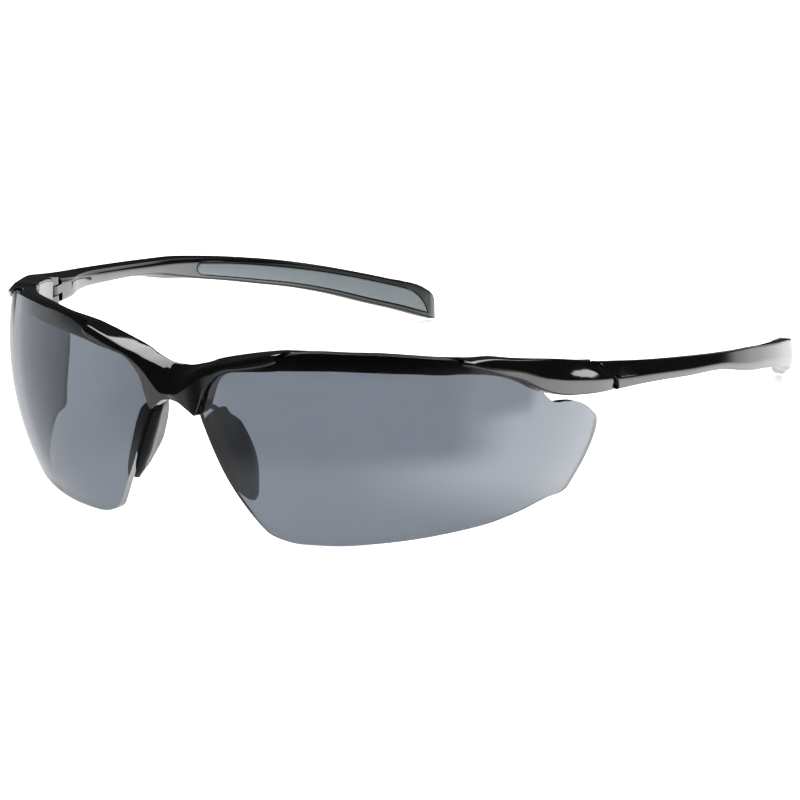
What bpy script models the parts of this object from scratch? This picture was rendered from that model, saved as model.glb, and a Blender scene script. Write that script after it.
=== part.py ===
"""Wraparound safety glasses: a semi-rimless frame front, two toric lenses, soft nose pads on
wire cores, and two folding temples with soft grip inlays.

All sizes below are in millimetres and are turned into metres when a mesh is made. +Z is up, the
wearer looks along -Y, and +X is the wearer's left. The glasses stand on the lower lens edges and
the temple tips, so z = 0 is the surface under them.
"""

import math

import bmesh
import bpy
import numpy as np

MM = 0.001

# Lens: part of a toric surface, one per eye. The left one is centred here. Level cuts are
# circles, the widest at the centre's height, and the upright curve is a little flatter.
LENS_CENTRE = (13.5, -25.0, 26.7)
LENS_RADIUS = 53.8
LENS_UPRIGHT_RADIUS = 62.0
LENS_THICKNESS = 2.0
LENS_ROWS = 10
LENS_COLUMNS = 34

# Clearances between pieces that touch
SLOT_GAP = 0.2
INLAY_GAP = 0.25

# Hinge: a temple tongue between two ears of the frame, on an upright screw
HINGE_X = 65.9
HINGE_Y = -29.9
KNUCKLE_RADIUS = 1.75
TONGUE_LOW = 29.8
TONGUE_HIGH = 31.6
EAR_GAP = 0.3
HINGE_WALL_X = 67.9
HINGE_WALL_GAP = 0.25
SCREW_RADIUS = 0.7
SCREW_HOLE_RADIUS = 0.8
SCREW_TOP = 32.6
SCREW_HEAD_RADIUS = 1.15
SCREW_HEAD_TOP = 28.4
SCREW_HEAD_BOTTOM = 27.6

# Nose pad wire
WIRE_RADIUS = 0.55
WIRE_HOLE_RADIUS = 0.75

# Lens outline as (angle round the lens's upright axis in degrees, height). The angle is 0
# straight ahead and grows towards the temple.
LENS_BOTTOM = ((5.9, 2.0), (9.5, 0.6), (13.6, 0.0), (22.4, 0.0), (33.7, 0.7), (42.6, 1.45),
               (51.0, 2.3), (59.8, 3.3), (67.0, 4.7), (74.6, 6.45), (81.1, 7.5))
LENS_NOSE = ((5.9, 2.0), (3.9, 4.1), (1.5, 7.4), (-2.1, 13.2), (-4.8, 18.9), (-6.7, 23.1),
             (-7.9, 25.7), (-8.6, 28.1))
LENS_OUTER = ((81.1, 7.5), (82.8, 9.7), (85.7, 13.6), (87.9, 17.5), (88.6, 19.7),
              (88.4, 21.4), (86.9, 22.8))
LENS_TOP = ((-8.6, 28.1), (-7.9, 31.0), (-5.5, 33.7), (-2.3, 35.8), (2.8, 37.4), (7.6, 38.7),
            (11.1, 39.8), (14.0, 40.6), (28.7, 41.2), (43.3, 40.1), (50.9, 38.9), (55.9, 37.4),
            (60.1, 36.1), (66.4, 33.6), (70.4, 31.2), (72.3, 29.1), (74.5, 27.3), (78.2, 26.7),
            (81.2, 26.1), (84.1, 24.8), (86.9, 22.8))

# Frame sections as angle, then six corners of (depth behind the lens's front face, height):
# top back, top front, crease, lip, under the lens, bottom back. Below 0 degrees the section
# turns from square to the lens to square to the wearer, at the bridge's middle (x = 0).
BRIDGE_ANGLE = -math.degrees(math.asin(LENS_CENTRE[0] / LENS_RADIUS))
FRAME_SECTIONS = (
    (BRIDGE_ANGLE, (2.0, 35.3), (-1.0, 33.5), (-4.2, 30.3), (-3.0, 28.8), (-0.5, 28.5), (2.0, 28.9)),
    (-12.1, (2.2, 35.5), (-1.0, 33.9), (-3.9, 30.6), (-2.7, 28.4), (-0.3, 28.1), (2.4, 28.4)),
    (-9.7, (2.9, 36.0), (-1.0, 34.9), (-3.0, 32.2), (-1.9, 26.8), (0.5, 26.4), (3.8, 26.7)),
    (-8.4, (3.3, 36.3), (-1.0, 35.5), (-2.5, 33.1), (-1.4, 26.1), (1.4, 25.9), (4.8, 26.3)),
    (-7.4, (3.6, 36.6), (-1.0, 35.9), (-2.1, 33.8), (-1.2, 28.1), (2.4, 28.3), (4.9, 28.5)),
    (-6.3, (3.8, 37.1), (-0.9, 36.2), (-1.9, 34.5), (-1.1, 31.1), (2.5, 31.3), (4.9, 31.5)),
    (-4.2, (4.3, 37.7), (-0.7, 36.9), (-1.4, 35.5), (-0.9, 33.9), (2.5, 33.9), (4.9, 33.9)),
    (-2.0, (4.6, 38.2), (-0.6, 37.4), (-1.1, 36.5), (-0.8, 35.6), (2.5, 34.9), (5.0, 34.8)),
    (2.7, (5.0, 39.1), (-0.4, 38.7), (-0.9, 37.7), (-0.7, 36.8), (2.5, 35.7), (5.2, 35.6)),
    (7.5, (5.3, 39.8), (-0.2, 39.9), (-0.8, 39.0), (-0.6, 37.9), (2.6, 36.1), (5.3, 36.0)),
    (11.0, (5.4, 40.2), (0.7, 40.5), (-0.5, 39.8), (-0.3, 38.9), (2.7, 36.5), (5.4, 36.4)),
    (14.0, (5.5, 40.3), (2.4, 40.6), (2.0, 40.1), (2.2, 39.3), (2.7, 36.7), (5.4, 36.5)),
    (22.6, (5.5, 40.3), (2.5, 40.7), (2.5, 39.9), (2.5, 38.5), (2.8, 37.0), (5.4, 36.9)),
    (35.0, (5.5, 40.1), (2.5, 40.5), (2.5, 39.7), (2.5, 38.3), (2.8, 36.6), (5.3, 36.5)),
    (43.0, (5.4, 39.4), (2.5, 39.7), (2.5, 39.1), (2.5, 37.9), (2.8, 36.1), (5.3, 35.9)),
    (49.0, (5.3, 38.7), (2.1, 39.2), (1.9, 38.6), (2.2, 37.6), (2.8, 35.5), (5.2, 35.3)),
    (52.5, (5.2, 38.4), (0.7, 39.0), (-0.4, 38.6), (-0.3, 37.9), (2.8, 35.4), (5.1, 35.1)),
    (56.0, (5.0, 38.1), (0.6, 38.5), (-0.8, 37.6), (-0.5, 36.9), (2.8, 35.0), (5.0, 34.8)),
    (60.2, (4.9, 37.9), (0.2, 38.3), (-1.2, 36.5), (-0.7, 35.3), (2.8, 34.4), (4.9, 34.3)),
    (66.4, (4.6, 36.8), (0.0, 37.3), (-1.3, 35.0), (-0.7, 33.1), (2.8, 32.3), (4.7, 32.2)),
    (71.0, (4.4, 36.0), (-0.2, 36.7), (-1.6, 33.2), (-0.9, 30.5), (2.8, 29.8), (4.5, 29.9)),
    (75.2, (4.0, 35.3), (-0.5, 36.1), (-1.8, 31.9), (-1.0, 28.8), (2.4, 28.3), (4.0, 28.7)),
    (81.8, (3.2, 33.9), (-0.9, 34.7), (-2.2, 30.5), (-1.5, 27.5), (2.2, 27.2), (3.2, 28.0)),
    (86.6, (2.9, 33.1), (-1.2, 33.7), (-2.7, 29.6), (-2.1, 26.9), (1.8, 26.7), (2.9, 27.7)),
    (95.0, (2.5, 31.7), (-2.0, 32.3), (-3.5, 28.2), (-2.9, 26.3), (1.4, 26.1), (2.5, 27.3)),
)
FRAME_CORNER_RADII = (0.9, 0.8, 0.5, 0.5, 0.6, 0.9)

# Temple sections as y, outer face x, thickness, then heights of the outer top, inner top, outer
# bottom and inner bottom edges and of the crease in the outer face, and how far the outer face
# leans in above the crease.
TEMPLE_SECTIONS = (
    (-34.4, 68.9, 5.4, 34.6, 33.8, 27.8, 28.4, 30.7, 1.5),
    (-29.4, 70.2, 6.0, 33.7, 32.9, 27.0, 27.9, 29.7, 1.6),
    (-23.4, 71.2, 6.0, 32.5, 31.8, 26.6, 27.6, 28.8, 1.6),
    (-18.9, 72.0, 5.0, 31.6, 30.9, 26.3, 27.4, 28.2, 1.5),
    (-14.4, 72.7, 4.3, 30.8, 30.0, 25.9, 27.0, 27.6, 1.4),
    (-2.4, 73.9, 3.8, 28.7, 27.8, 24.3, 25.4, 25.7, 1.2),
    (11.6, 74.4, 3.5, 26.3, 25.4, 22.3, 23.1, 23.5, 0.9),
    (17.6, 74.2, 3.4, 25.3, 24.5, 20.5, 21.8, 21.9, 0.7),
    (22.6, 73.8, 3.4, 24.5, 23.7, 19.2, 20.2, 20.7, 0.6),
    (29.6, 72.8, 3.4, 23.0, 22.4, 17.8, 18.0, 19.5, 0.5),
    (37.6, 70.8, 3.4, 21.2, 20.8, 15.8, 15.8, 17.6, 0.4),
    (44.6, 68.2, 3.4, 19.5, 19.2, 13.8, 13.8, 15.6, 0.3),
    (52.6, 64.6, 3.4, 17.4, 17.1, 11.5, 11.5, 13.4, 0.3),
    (59.6, 60.5, 3.4, 15.2, 15.0, 9.0, 9.0, 11.0, 0.3),
    (67.6, 55.1, 3.4, 12.3, 12.1, 5.5, 5.5, 7.6, 0.3),
    (72.6, 51.4, 3.3, 10.3, 10.1, 3.4, 3.4, 5.5, 0.3),
    (76.6, 48.4, 3.2, 8.7, 8.5, 1.5, 1.5, 3.7, 0.3),
    (78.8, 46.8, 3.1, 6.9, 6.7, 0.5, 0.5, 2.6, 0.3),
    (80.0, 45.9, 2.9, 5.3, 5.1, 0.0, 0.0, 1.9, 0.3),
    (80.7, 45.4, 2.6, 3.9, 3.7, 0.4, 0.4, 1.7, 0.3),
    (81.1, 45.1, 2.1, 2.6, 2.5, 1.1, 1.1, 1.6, 0.2),
)
TEMPLE_CORNER_RADII = (1.0, 0.7, 0.8, 0.8, 0.9)

# Where the frame's outer skin ends and the temple's begins, as (y, z) from top to bottom
HINGE_SPLIT = ((-29.8, 36.5), (-28.7, 34.0), (-27.5, 32.1), (-26.0, 30.6), (-24.6, 29.0),
               (-24.1, 27.4), (-24.6, 26.0), (-25.9, 23.5))

# Grip inlay in the temple's inner face
GRIP_FRONT_Y = 28.8
GRIP_REAR_Y = 79.3
GRIP_DEPTH = 1.1
GRIP_PROUD = 0.25
GRIP_TOP_BORDERS = (0.95, 1.5)
GRIP_BOTTOM_BORDERS = (1.05, 1.3)
GRIP_ROUND_LENGTH = 1.5
GRIP_TAPER_LENGTH = 5.0

# Nose pad sections as height, then x and y of four corners: the front one by the nose, the
# front one by the lens, the rear one by the lens and the rear one by the nose
PAD_SECTIONS = (
    (26.5, (6.6, -73.6), (8.6, -73.7), (8.2, -71.5), (7.2, -70.8)),
    (25.9, (6.1, -74.3), (9.7, -74.4), (8.7, -71.4), (7.0, -69.9)),
    (25.2, (5.5, -75.1), (10.3, -75.2), (9.3, -71.6), (7.3, -69.6)),
    (23.4, (5.5, -75.8), (11.2, -75.4), (10.3, -71.4), (8.7, -67.7)),
    (21.5, (6.0, -75.8), (11.9, -75.4), (11.4, -71.0), (9.5, -66.9)),
    (18.5, (7.2, -75.6), (12.9, -75.1), (12.9, -70.4), (10.6, -66.3)),
    (15.7, (8.4, -75.2), (13.9, -74.7), (13.9, -70.4), (11.6, -66.2)),
    (12.7, (10.2, -74.6), (15.0, -74.1), (14.8, -70.6), (12.8, -67.4)),
    (10.7, (11.4, -74.0), (15.6, -73.5), (15.2, -70.9), (13.5, -68.8)),
    (9.4, (12.6, -73.4), (15.7, -73.0), (15.5, -71.5), (14.2, -70.2)),
    (8.6, (13.6, -72.8), (15.2, -72.5), (15.0, -71.7), (14.0, -71.2)),
)
PAD_CORNER_RADII = (1.0, 1.3, 1.8, 1.3)

# Wire from the frame's foot down into the pad, as (x, y, z)
WIRE_ROUTE = ((4.6, -74.8, 29.5), (5.0, -74.5, 27.9), (6.4, -73.5, 26.9), (7.9, -72.6, 25.6),
              (9.2, -72.3, 23.2), (10.6, -72.3, 20.0), (11.9, -72.2, 16.5))

BLACK_PLASTIC = ("black_plastic", (0.006, 0.006, 0.007, 1.0), 0.12, 0.0)
SMOKE_LENS = ("smoke_lens", (0.10, 0.11, 0.125, 1.0), 0.05, 0.0)
BLACK_RUBBER = ("black_rubber", (0.012, 0.012, 0.013, 1.0), 0.55, 0.0)
GREY_RUBBER = ("grey_rubber", (0.30, 0.33, 0.36, 1.0), 0.60, 0.0)
STEEL = ("steel", (0.55, 0.55, 0.56, 1.0), 0.25, 1.0)


def smooth_curve(knots, values, at):
    """Values at the places `at` on a smooth curve through the knots, which run upwards."""
    knots = np.asarray(knots, float)
    values = np.asarray(values, float)
    at = np.asarray(at, float)
    steps = np.diff(knots)
    slopes = np.diff(values) / steps
    tangents = np.empty(len(knots))
    tangents[0] = slopes[0]
    tangents[-1] = slopes[-1]
    tangents[1:-1] = (slopes[:-1] * steps[1:] + slopes[1:] * steps[:-1]) / (steps[1:] + steps[:-1])
    place = np.clip(np.searchsorted(knots, at) - 1, 0, len(steps) - 1)
    step = steps[place]
    t = (at - knots[place]) / step
    return ((2 * t**3 - 3 * t**2 + 1) * values[place]
            + (t**3 - 2 * t**2 + t) * step * tangents[place]
            + (3 * t**2 - 2 * t**3) * values[place + 1]
            + (t**3 - t**2) * step * tangents[place + 1])


def lens_sides(columns, rows):
    """The bottom, outer, top and nose sides of the lens's outline, as evenly spaced points on
    one closed smooth curve. All run away from the nose or upwards."""
    loop = list(LENS_BOTTOM + LENS_OUTER[1:] + LENS_TOP[-2::-1] + LENS_NOSE[-2:0:-1])
    points = np.array(loop[-2:] + loop + loop[:3])
    length = np.concatenate([[0.0], np.cumsum(np.hypot(*np.diff(points, axis=0).T))])
    sides = []
    start = 2
    for line, count in ((LENS_BOTTOM, columns), (LENS_OUTER, rows), (LENS_TOP, columns),
                        (LENS_NOSE, rows)):
        end = start + len(line) - 1
        at = np.linspace(length[start], length[end], count + 1)
        sides.append(np.stack([smooth_curve(length, points[:, k], at) for k in (0, 1)], axis=1))
        start = end
    bottom, outer, top, nose = sides
    bottom[:, 1] = np.maximum(bottom[:, 1], 0.0)
    return bottom, outer, top[::-1], nose[::-1]


def level_radius(z):
    """Radius of the lens surface's level circle at height z."""
    drop = LENS_UPRIGHT_RADIUS - np.sqrt(LENS_UPRIGHT_RADIUS**2 - (z - LENS_CENTRE[2]) ** 2)
    return LENS_RADIUS - drop


def lens_point(angle, z, depth):
    turn = math.radians(angle)
    reach = level_radius(z) - depth
    return (LENS_CENTRE[0] + reach * math.sin(turn), LENS_CENTRE[1] - reach * math.cos(turn), z)


def frame_point(angle, depth, z):
    """A point of the frame. At the bridge its x stays put with height, and depth turns to +Y."""
    if angle >= 0:
        return lens_point(angle, z, depth)
    x = LENS_CENTRE[0] + LENS_RADIUS * math.sin(math.radians(angle))
    y = LENS_CENTRE[1] - math.sqrt(level_radius(z) ** 2 - (x - LENS_CENTRE[0]) ** 2)
    share = min(max((-3.0 - angle) / (-3.0 - BRIDGE_ANGLE), 0.0), 1.0)
    facing = math.radians(angle * (1 - share))
    return (x - depth * math.sin(facing), y + depth * math.cos(facing), z)


def rounded(corners, radii, steps=2):
    """A closed outline whose corners are rounded, with steps + 1 points at each."""
    corners = np.asarray(corners, float)
    points = []
    for k, corner in enumerate(corners):
        before = corners[k - 1] - corner
        after = corners[(k + 1) % len(corners)] - corner
        start = corner + before * min(radii[k] / np.linalg.norm(before), 0.42)
        end = corner + after * min(radii[k] / np.linalg.norm(after), 0.42)
        for t in np.linspace(0.0, 1.0, steps + 1):
            points.append((1 - t) ** 2 * start + 2 * t * (1 - t) * corner + t * t * end)
    return points


def material(finish):
    name, colour, roughness, metallic = finish
    found = bpy.data.materials.get(name)
    if found:
        return found
    made = bpy.data.materials.new(name)
    made.use_nodes = True
    made.diffuse_color = colour
    shader = made.node_tree.nodes["Principled BSDF"]
    shader.inputs["Base Color"].default_value = colour
    shader.inputs["Roughness"].default_value = roughness
    shader.inputs["Metallic"].default_value = metallic
    return made


def add_object(name, mesh, finish=None, cutter=False):
    made = bpy.data.objects.new(name, mesh)
    bpy.data.collections["cutters" if cutter else "safety_glasses"].objects.link(made)
    if cutter:
        made.hide_render = True
        made.display_type = "WIRE"
    else:
        mesh.materials.append(material(finish))
        mesh.shade_smooth()
        mesh.set_sharp_from_angle(angle=math.radians(35))
    return made


def mesh_from(name, points, faces):
    """A mesh in metres from points in millimetres, with its faces turned outwards."""
    mesh = bpy.data.meshes.new(name)
    mesh.from_pydata([[v * MM for v in p] for p in points], [], faces)
    shape = bmesh.new()
    shape.from_mesh(mesh)
    bmesh.ops.recalc_face_normals(shape, faces=shape.faces)
    shape.to_mesh(mesh)
    shape.free()
    return mesh


def loft(name, rings, open_start=False):
    """A solid through rings of as many points each, capped at its ends."""
    size = len(rings[0])
    points = [p for ring in rings for p in ring]
    faces = []
    for r in range(len(rings) - 1):
        for k in range(size):
            after = (k + 1) % size
            faces.append((r * size + k, r * size + after, (r + 1) * size + after, (r + 1) * size + k))
    if not open_start:
        faces.append(tuple(range(size)))
    faces.append(tuple(range((len(rings) - 1) * size, len(rings) * size)))
    return mesh_from(name, points, faces)


def prism(name, outline, low, high, place):
    """A solid that runs an outline from low to high. place(u, v, w) puts a point in space."""
    rings = [[place(u, v, w) for u, v in outline] for w in (low, high)]
    return loft(name, rings)


def mirrored(mesh, name):
    """A copy of a mesh on the other side of the plane x = 0."""
    copy = mesh.copy()
    copy.name = name
    for vertex in copy.vertices:
        vertex.co.x = -vertex.co.x
    copy.flip_normals()
    return copy


def joined(name, meshes):
    """One mesh that holds all these meshes."""
    shape = bmesh.new()
    for mesh in meshes:
        shape.from_mesh(mesh)
    made = bpy.data.meshes.new(name)
    shape.to_mesh(made)
    shape.free()
    return made


def cut(target, cutter):
    modifier = target.modifiers.new("cut_" + cutter.name, "BOOLEAN")
    modifier.operation = "DIFFERENCE"
    modifier.object = cutter


def lens_mesh(name, grow, front, back):
    """The left lens between two depths, its outline grown by `grow` on every side."""
    bottom, outer, top, nose = lens_sides(LENS_COLUMNS, LENS_ROWS)
    turn = math.degrees(grow / LENS_RADIUS)
    sheets = []
    for depth in (front, back):
        sheet = []
        for i in range(LENS_COLUMNS + 1):
            s = i / LENS_COLUMNS
            for j in range(LENS_ROWS + 1):
                t = j / LENS_ROWS
                corners = ((1 - s) * (1 - t) * bottom[0] + s * (1 - t) * bottom[-1]
                           + (1 - s) * t * top[0] + s * t * top[-1])
                angle, z = ((1 - t) * bottom[i] + t * top[i] + (1 - s) * nose[j]
                            + s * outer[j] - corners)
                sheet.append(lens_point(angle + turn * (2 * s - 1), z + grow * (2 * t - 1), depth))
        sheets.append(sheet)
    rows = LENS_ROWS + 1
    count = len(sheets[0])
    faces = []
    for i in range(LENS_COLUMNS):
        for j in range(LENS_ROWS):
            quad = (i * rows + j, (i + 1) * rows + j, (i + 1) * rows + j + 1, i * rows + j + 1)
            faces.append(quad)
            faces.append(tuple(count + k for k in reversed(quad)))
    rim = ([i * rows for i in range(LENS_COLUMNS)]
           + [LENS_COLUMNS * rows + j for j in range(LENS_ROWS)]
           + [i * rows + LENS_ROWS for i in range(LENS_COLUMNS, 0, -1)]
           + list(range(LENS_ROWS, 0, -1)))
    for k, here in enumerate(rim):
        after = rim[(k + 1) % len(rim)]
        faces.append((here, after, count + after, count + here))
    return mesh_from(name, sheets[0] + sheets[1], faces)


def frame_mesh():
    """The left half of the frame front, open at x = 0."""
    angles = [section[0] for section in FRAME_SECTIONS]
    at = np.array(sorted(angles + [(a + b) / 2 for a, b in zip(angles, angles[1:])]))
    corners = []
    for k in range(len(FRAME_CORNER_RADII)):
        depth = smooth_curve(angles, [section[1 + k][0] for section in FRAME_SECTIONS], at)
        height = smooth_curve(angles, [section[1 + k][1] for section in FRAME_SECTIONS], at)
        corners.append(np.stack([depth, height], axis=1))
    rings = []
    for r, angle in enumerate(at):
        outline = rounded([corner[r] for corner in corners], FRAME_CORNER_RADII)
        rings.append([frame_point(angle, depth, z) for depth, z in outline])
    for k, point in enumerate(rings[0]):
        rings[0][k] = (0.0, point[1], point[2])
    return loft("frame_front", rings, open_start=True)


class Temple:
    """The left temple's outline: places across it, at any y along it."""

    def __init__(self):
        self.table = np.array(TEMPLE_SECTIONS)

    def at(self, y):
        return [float(smooth_curve(self.table[:, 0], self.table[:, k], [y])[0]) for k in range(1, 9)]

    def point(self, y, inward, z):
        """A point at height z, `inward` from the outer face and square to it."""
        x = self.at(y)[0]
        slope = (self.at(y + 0.1)[0] - self.at(y - 0.1)[0]) / 0.2
        size = math.hypot(1.0, slope)
        return (x - inward / size, y + inward * slope / size, z)

    def inner_y(self, y, inward):
        """The y that a point `inward` from the outer face at y has."""
        return self.point(y, inward, 0.0)[1]

    def ring(self, y):
        _, thick, outer_top, _, outer_low, _, crease, lean = self.at(y)
        behind = self.at(max(self.inner_y(y, thick), self.table[0, 0]))
        inner_top = behind[3]
        inner_low = behind[5]
        outline = rounded([(thick, inner_top), (lean, outer_top), (0.0, crease),
                           (0.35, outer_low), (thick, inner_low)], TEMPLE_CORNER_RADII)
        return [self.point(y, inward, z) for inward, z in outline]

    def grip_ring(self, y, grow, low, high):
        """A section of the inlay, between two distances past the inner face."""
        thick = self.at(y)[1]
        behind = self.at(self.inner_y(y, thick))
        share = (y - GRIP_FRONT_Y) / (GRIP_REAR_Y - GRIP_FRONT_Y)
        top_border = np.interp(share, (0, 1), GRIP_TOP_BORDERS)
        bottom_border = np.interp(share, (0, 1), GRIP_BOTTOM_BORDERS)
        top = behind[3] - top_border + grow
        bottom = behind[5] + bottom_border - grow
        front = min(max((y - GRIP_FRONT_Y + grow) / GRIP_ROUND_LENGTH, 0.0), 1.0)
        rear = min(max((GRIP_REAR_Y + grow - y) / GRIP_TAPER_LENGTH, 0.0), 1.0)
        top = bottom + (top - bottom) * math.sqrt(1 - (1 - rear) ** 2)
        middle = (top + bottom) / 2
        half = max((top - bottom) / 2 * math.sqrt(1 - (1 - front) ** 2), 0.25 + grow)
        return [self.point(y, thick + across, middle + up)
                for across, up in ((low, -half), (high, -half), (high, half), (low, half))]

    def grip_mesh(self, name, grow, low, high):
        span = GRIP_REAR_Y - GRIP_FRONT_Y
        places = [0.0, 0.003, 0.012, 0.03, 0.1, 0.2, 0.3, 0.4, 0.5, 0.6, 0.7, 0.8, 0.86, 0.905,
                  0.94, 0.965, 0.983, 0.994, 1.0]
        ends = [GRIP_FRONT_Y - grow + p * (span + 2 * grow) for p in places]
        return loft(name, [self.grip_ring(y, grow, low, high) for y in ends])

    def mesh(self):
        places = []
        knots = self.table[:, 0]
        for start, end in zip(knots, knots[1:]):
            parts = 2 if end - start > 2.5 else 1
            places += [start + (end - start) * k / parts for k in range(parts)]
        places.append(knots[-1])
        return loft("temple", [self.ring(y) for y in places])


def half_circle(radius, start, end, steps=10):
    """Points round the hinge axis from one direction to another, in degrees from +X."""
    turns = [math.radians(start + (end - start) * k / steps) for k in range(steps + 1)]
    return [(HINGE_X + radius * math.cos(a), HINGE_Y + radius * math.sin(a)) for a in turns]


def upright(u, v, w):
    return (u, v, w)


def sideways(u, v, w):
    return (w, u, v)


def frame_hinge_cutters():
    """What is cut from the frame's end: the skin behind the split, the space behind each ear
    and the slot for the temple's tongue."""
    skin = list(HINGE_SPLIT) + [(-10.0, 24.0), (-10.0, 37.0)]
    trim_y = HINGE_Y - 2.7
    ear = ([(58.0, trim_y), (HINGE_X - KNUCKLE_RADIUS, trim_y)]
           + half_circle(KNUCKLE_RADIUS, 180.0, 0.0)
           + [(HINGE_WALL_X, HINGE_Y), (HINGE_WALL_X, -10.0), (58.0, -10.0)])
    slot_y = HINGE_Y - KNUCKLE_RADIUS - EAR_GAP
    slot = [(58.0, trim_y), (HINGE_X - KNUCKLE_RADIUS, trim_y), (HINGE_X - KNUCKLE_RADIUS, slot_y),
            (HINGE_WALL_X, slot_y), (HINGE_WALL_X, -10.0), (58.0, -10.0)]
    low = TONGUE_LOW - EAR_GAP
    high = TONGUE_HIGH + EAR_GAP
    return [prism("cut_skin", skin, HINGE_WALL_X, 80.0, sideways),
            prism("cut_ear_low", ear, 20.0, low, upright),
            prism("cut_slot", slot, low, high, upright),
            prism("cut_ear_high", ear, high, 40.0, upright)]


def temple_hinge_cutters():
    """What is cut from the temple's root: the skin ahead of the split and all round the tongue."""
    skin = [(y + EAR_GAP, z) for y, z in HINGE_SPLIT] + [(-40.0, 24.0), (-40.0, 37.0)]
    wall = HINGE_WALL_X - HINGE_WALL_GAP
    ear_y = HINGE_Y + KNUCKLE_RADIUS + 0.4
    ear = [(58.0, -40.0), (wall, -40.0), (wall, ear_y), (58.0, ear_y)]
    front = ([(58.0, -40.0), (wall, -40.0), (wall, HINGE_Y)]
             + half_circle(KNUCKLE_RADIUS, 0.0, -180.0) + [(58.0, HINGE_Y)])
    return [prism("cut_skin", skin, wall, 80.0, sideways),
            prism("cut_below", ear, 20.0, TONGUE_LOW, upright),
            prism("cut_ahead", front, TONGUE_LOW, TONGUE_HIGH, upright),
            prism("cut_above", ear, TONGUE_HIGH, 40.0, upright)]


def turned(name, profile, x, y, steps=20):
    """A solid turned about an upright axis. The profile is (radius, z), from top to bottom."""
    mesh = bpy.data.meshes.new(name + "_profile")
    mesh.from_pydata([(r * MM, 0.0, z * MM) for r, z in profile], [],
                     [(k, k + 1) for k in range(len(profile) - 1)])
    helper = bpy.data.objects.new(name + "_helper", mesh)
    bpy.context.scene.collection.objects.link(helper)
    screw = helper.modifiers.new("turn", "SCREW")
    screw.steps = steps
    screw.render_steps = steps
    screw.use_merge_vertices = True
    screw.merge_threshold = 0.00001
    graph = bpy.context.evaluated_depsgraph_get()
    made = bpy.data.meshes.new_from_object(helper.evaluated_get(graph))
    bpy.data.objects.remove(helper)
    shape = bmesh.new()
    shape.from_mesh(made)
    bmesh.ops.remove_doubles(shape, verts=shape.verts, dist=0.00001)
    bmesh.ops.recalc_face_normals(shape, faces=shape.faces)
    bmesh.ops.translate(shape, verts=shape.verts, vec=(x * MM, y * MM, 0.0))
    shape.to_mesh(made)
    shape.free()
    made.name = name
    return made


def screw_hole_mesh():
    """The screw's bore, with room for its head, blind in the upper ear."""
    head = SCREW_HEAD_RADIUS + 0.15
    seat = SCREW_HEAD_TOP + 0.1
    return turned("cut_screw", [(0.0, SCREW_TOP + 0.15), (SCREW_HOLE_RADIUS, SCREW_TOP + 0.15),
                                (SCREW_HOLE_RADIUS, seat), (head, seat), (head, 25.0),
                                (0.0, 25.0)], HINGE_X, HINGE_Y)


def screw_mesh():
    bevel = 0.15
    return turned("hinge_screw", [(0.0, SCREW_TOP), (SCREW_RADIUS - bevel, SCREW_TOP),
                                  (SCREW_RADIUS, SCREW_TOP - bevel),
                                  (SCREW_RADIUS, SCREW_HEAD_TOP),
                                  (SCREW_HEAD_RADIUS, SCREW_HEAD_TOP),
                                  (SCREW_HEAD_RADIUS, SCREW_HEAD_BOTTOM + bevel),
                                  (SCREW_HEAD_RADIUS - bevel, SCREW_HEAD_BOTTOM),
                                  (0.0, SCREW_HEAD_BOTTOM)], HINGE_X, HINGE_Y)


def screw_slot_mesh():
    """The driver slot across the screw's head."""
    half = 0.16
    outline = [(HINGE_X - 2.0, HINGE_Y - half), (HINGE_X + 2.0, HINGE_Y - half),
               (HINGE_X + 2.0, HINGE_Y + half), (HINGE_X - 2.0, HINGE_Y + half)]
    return prism("cut_driver_slot", outline, SCREW_HEAD_BOTTOM - 1.0, SCREW_HEAD_BOTTOM + 0.35,
                 upright)


def wire_mesh(name, radius, extra):
    """The wire along its route, `extra` longer at its lower end."""
    route = np.array(WIRE_ROUTE)
    end = route[-1] - route[-2]
    route = np.vstack([route, route[-1] + end / np.linalg.norm(end) * extra]) if extra else route
    length = np.concatenate([[0.0], np.cumsum(np.linalg.norm(np.diff(route, axis=0), axis=1))])
    at = np.linspace(0.0, length[-1], 16)
    points = np.stack([smooth_curve(length, route[:, k], at) for k in range(3)], axis=1)
    curve = bpy.data.curves.new(name, "CURVE")
    curve.dimensions = "3D"
    curve.bevel_depth = radius * MM
    curve.bevel_resolution = 2
    curve.use_fill_caps = True
    spline = curve.splines.new("POLY")
    spline.points.add(len(points) - 1)
    for place, point in zip(spline.points, points):
        place.co = (*(point * MM), 1.0)
    helper = bpy.data.objects.new(name + "_helper", curve)
    bpy.context.scene.collection.objects.link(helper)
    graph = bpy.context.evaluated_depsgraph_get()
    made = bpy.data.meshes.new_from_object(helper.evaluated_get(graph))
    bpy.data.objects.remove(helper)
    shape = bmesh.new()
    shape.from_mesh(made)
    bmesh.ops.remove_doubles(shape, verts=shape.verts, dist=0.00001)
    bmesh.ops.recalc_face_normals(shape, faces=shape.faces)
    shape.to_mesh(made)
    shape.free()
    made.name = name
    return made


def pad_mesh():
    """The left nose pad: a leaning wedge, rounded at its edges."""
    rings = [[(x, y, z) for x, y in rounded(corners, PAD_CORNER_RADII)]
             for z, *corners in PAD_SECTIONS]
    return loft("nose_pad", rings)


def pair(name, left_mesh, finish, cutters=()):
    """The left piece and its mirror image, each with its own cutters."""
    for side, turn_over in (("left", False), ("right", True)):
        mesh = mirrored(left_mesh, f"{name}_{side}") if turn_over else left_mesh
        piece = add_object(f"{name}_{side}", mesh, finish)
        for cutter in cutters:
            tool = mirrored(cutter, f"{cutter.name}_{side}") if turn_over else cutter
            cut(piece, add_object(f"{name}_{side}_{cutter.name}", tool, cutter=True))


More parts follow.
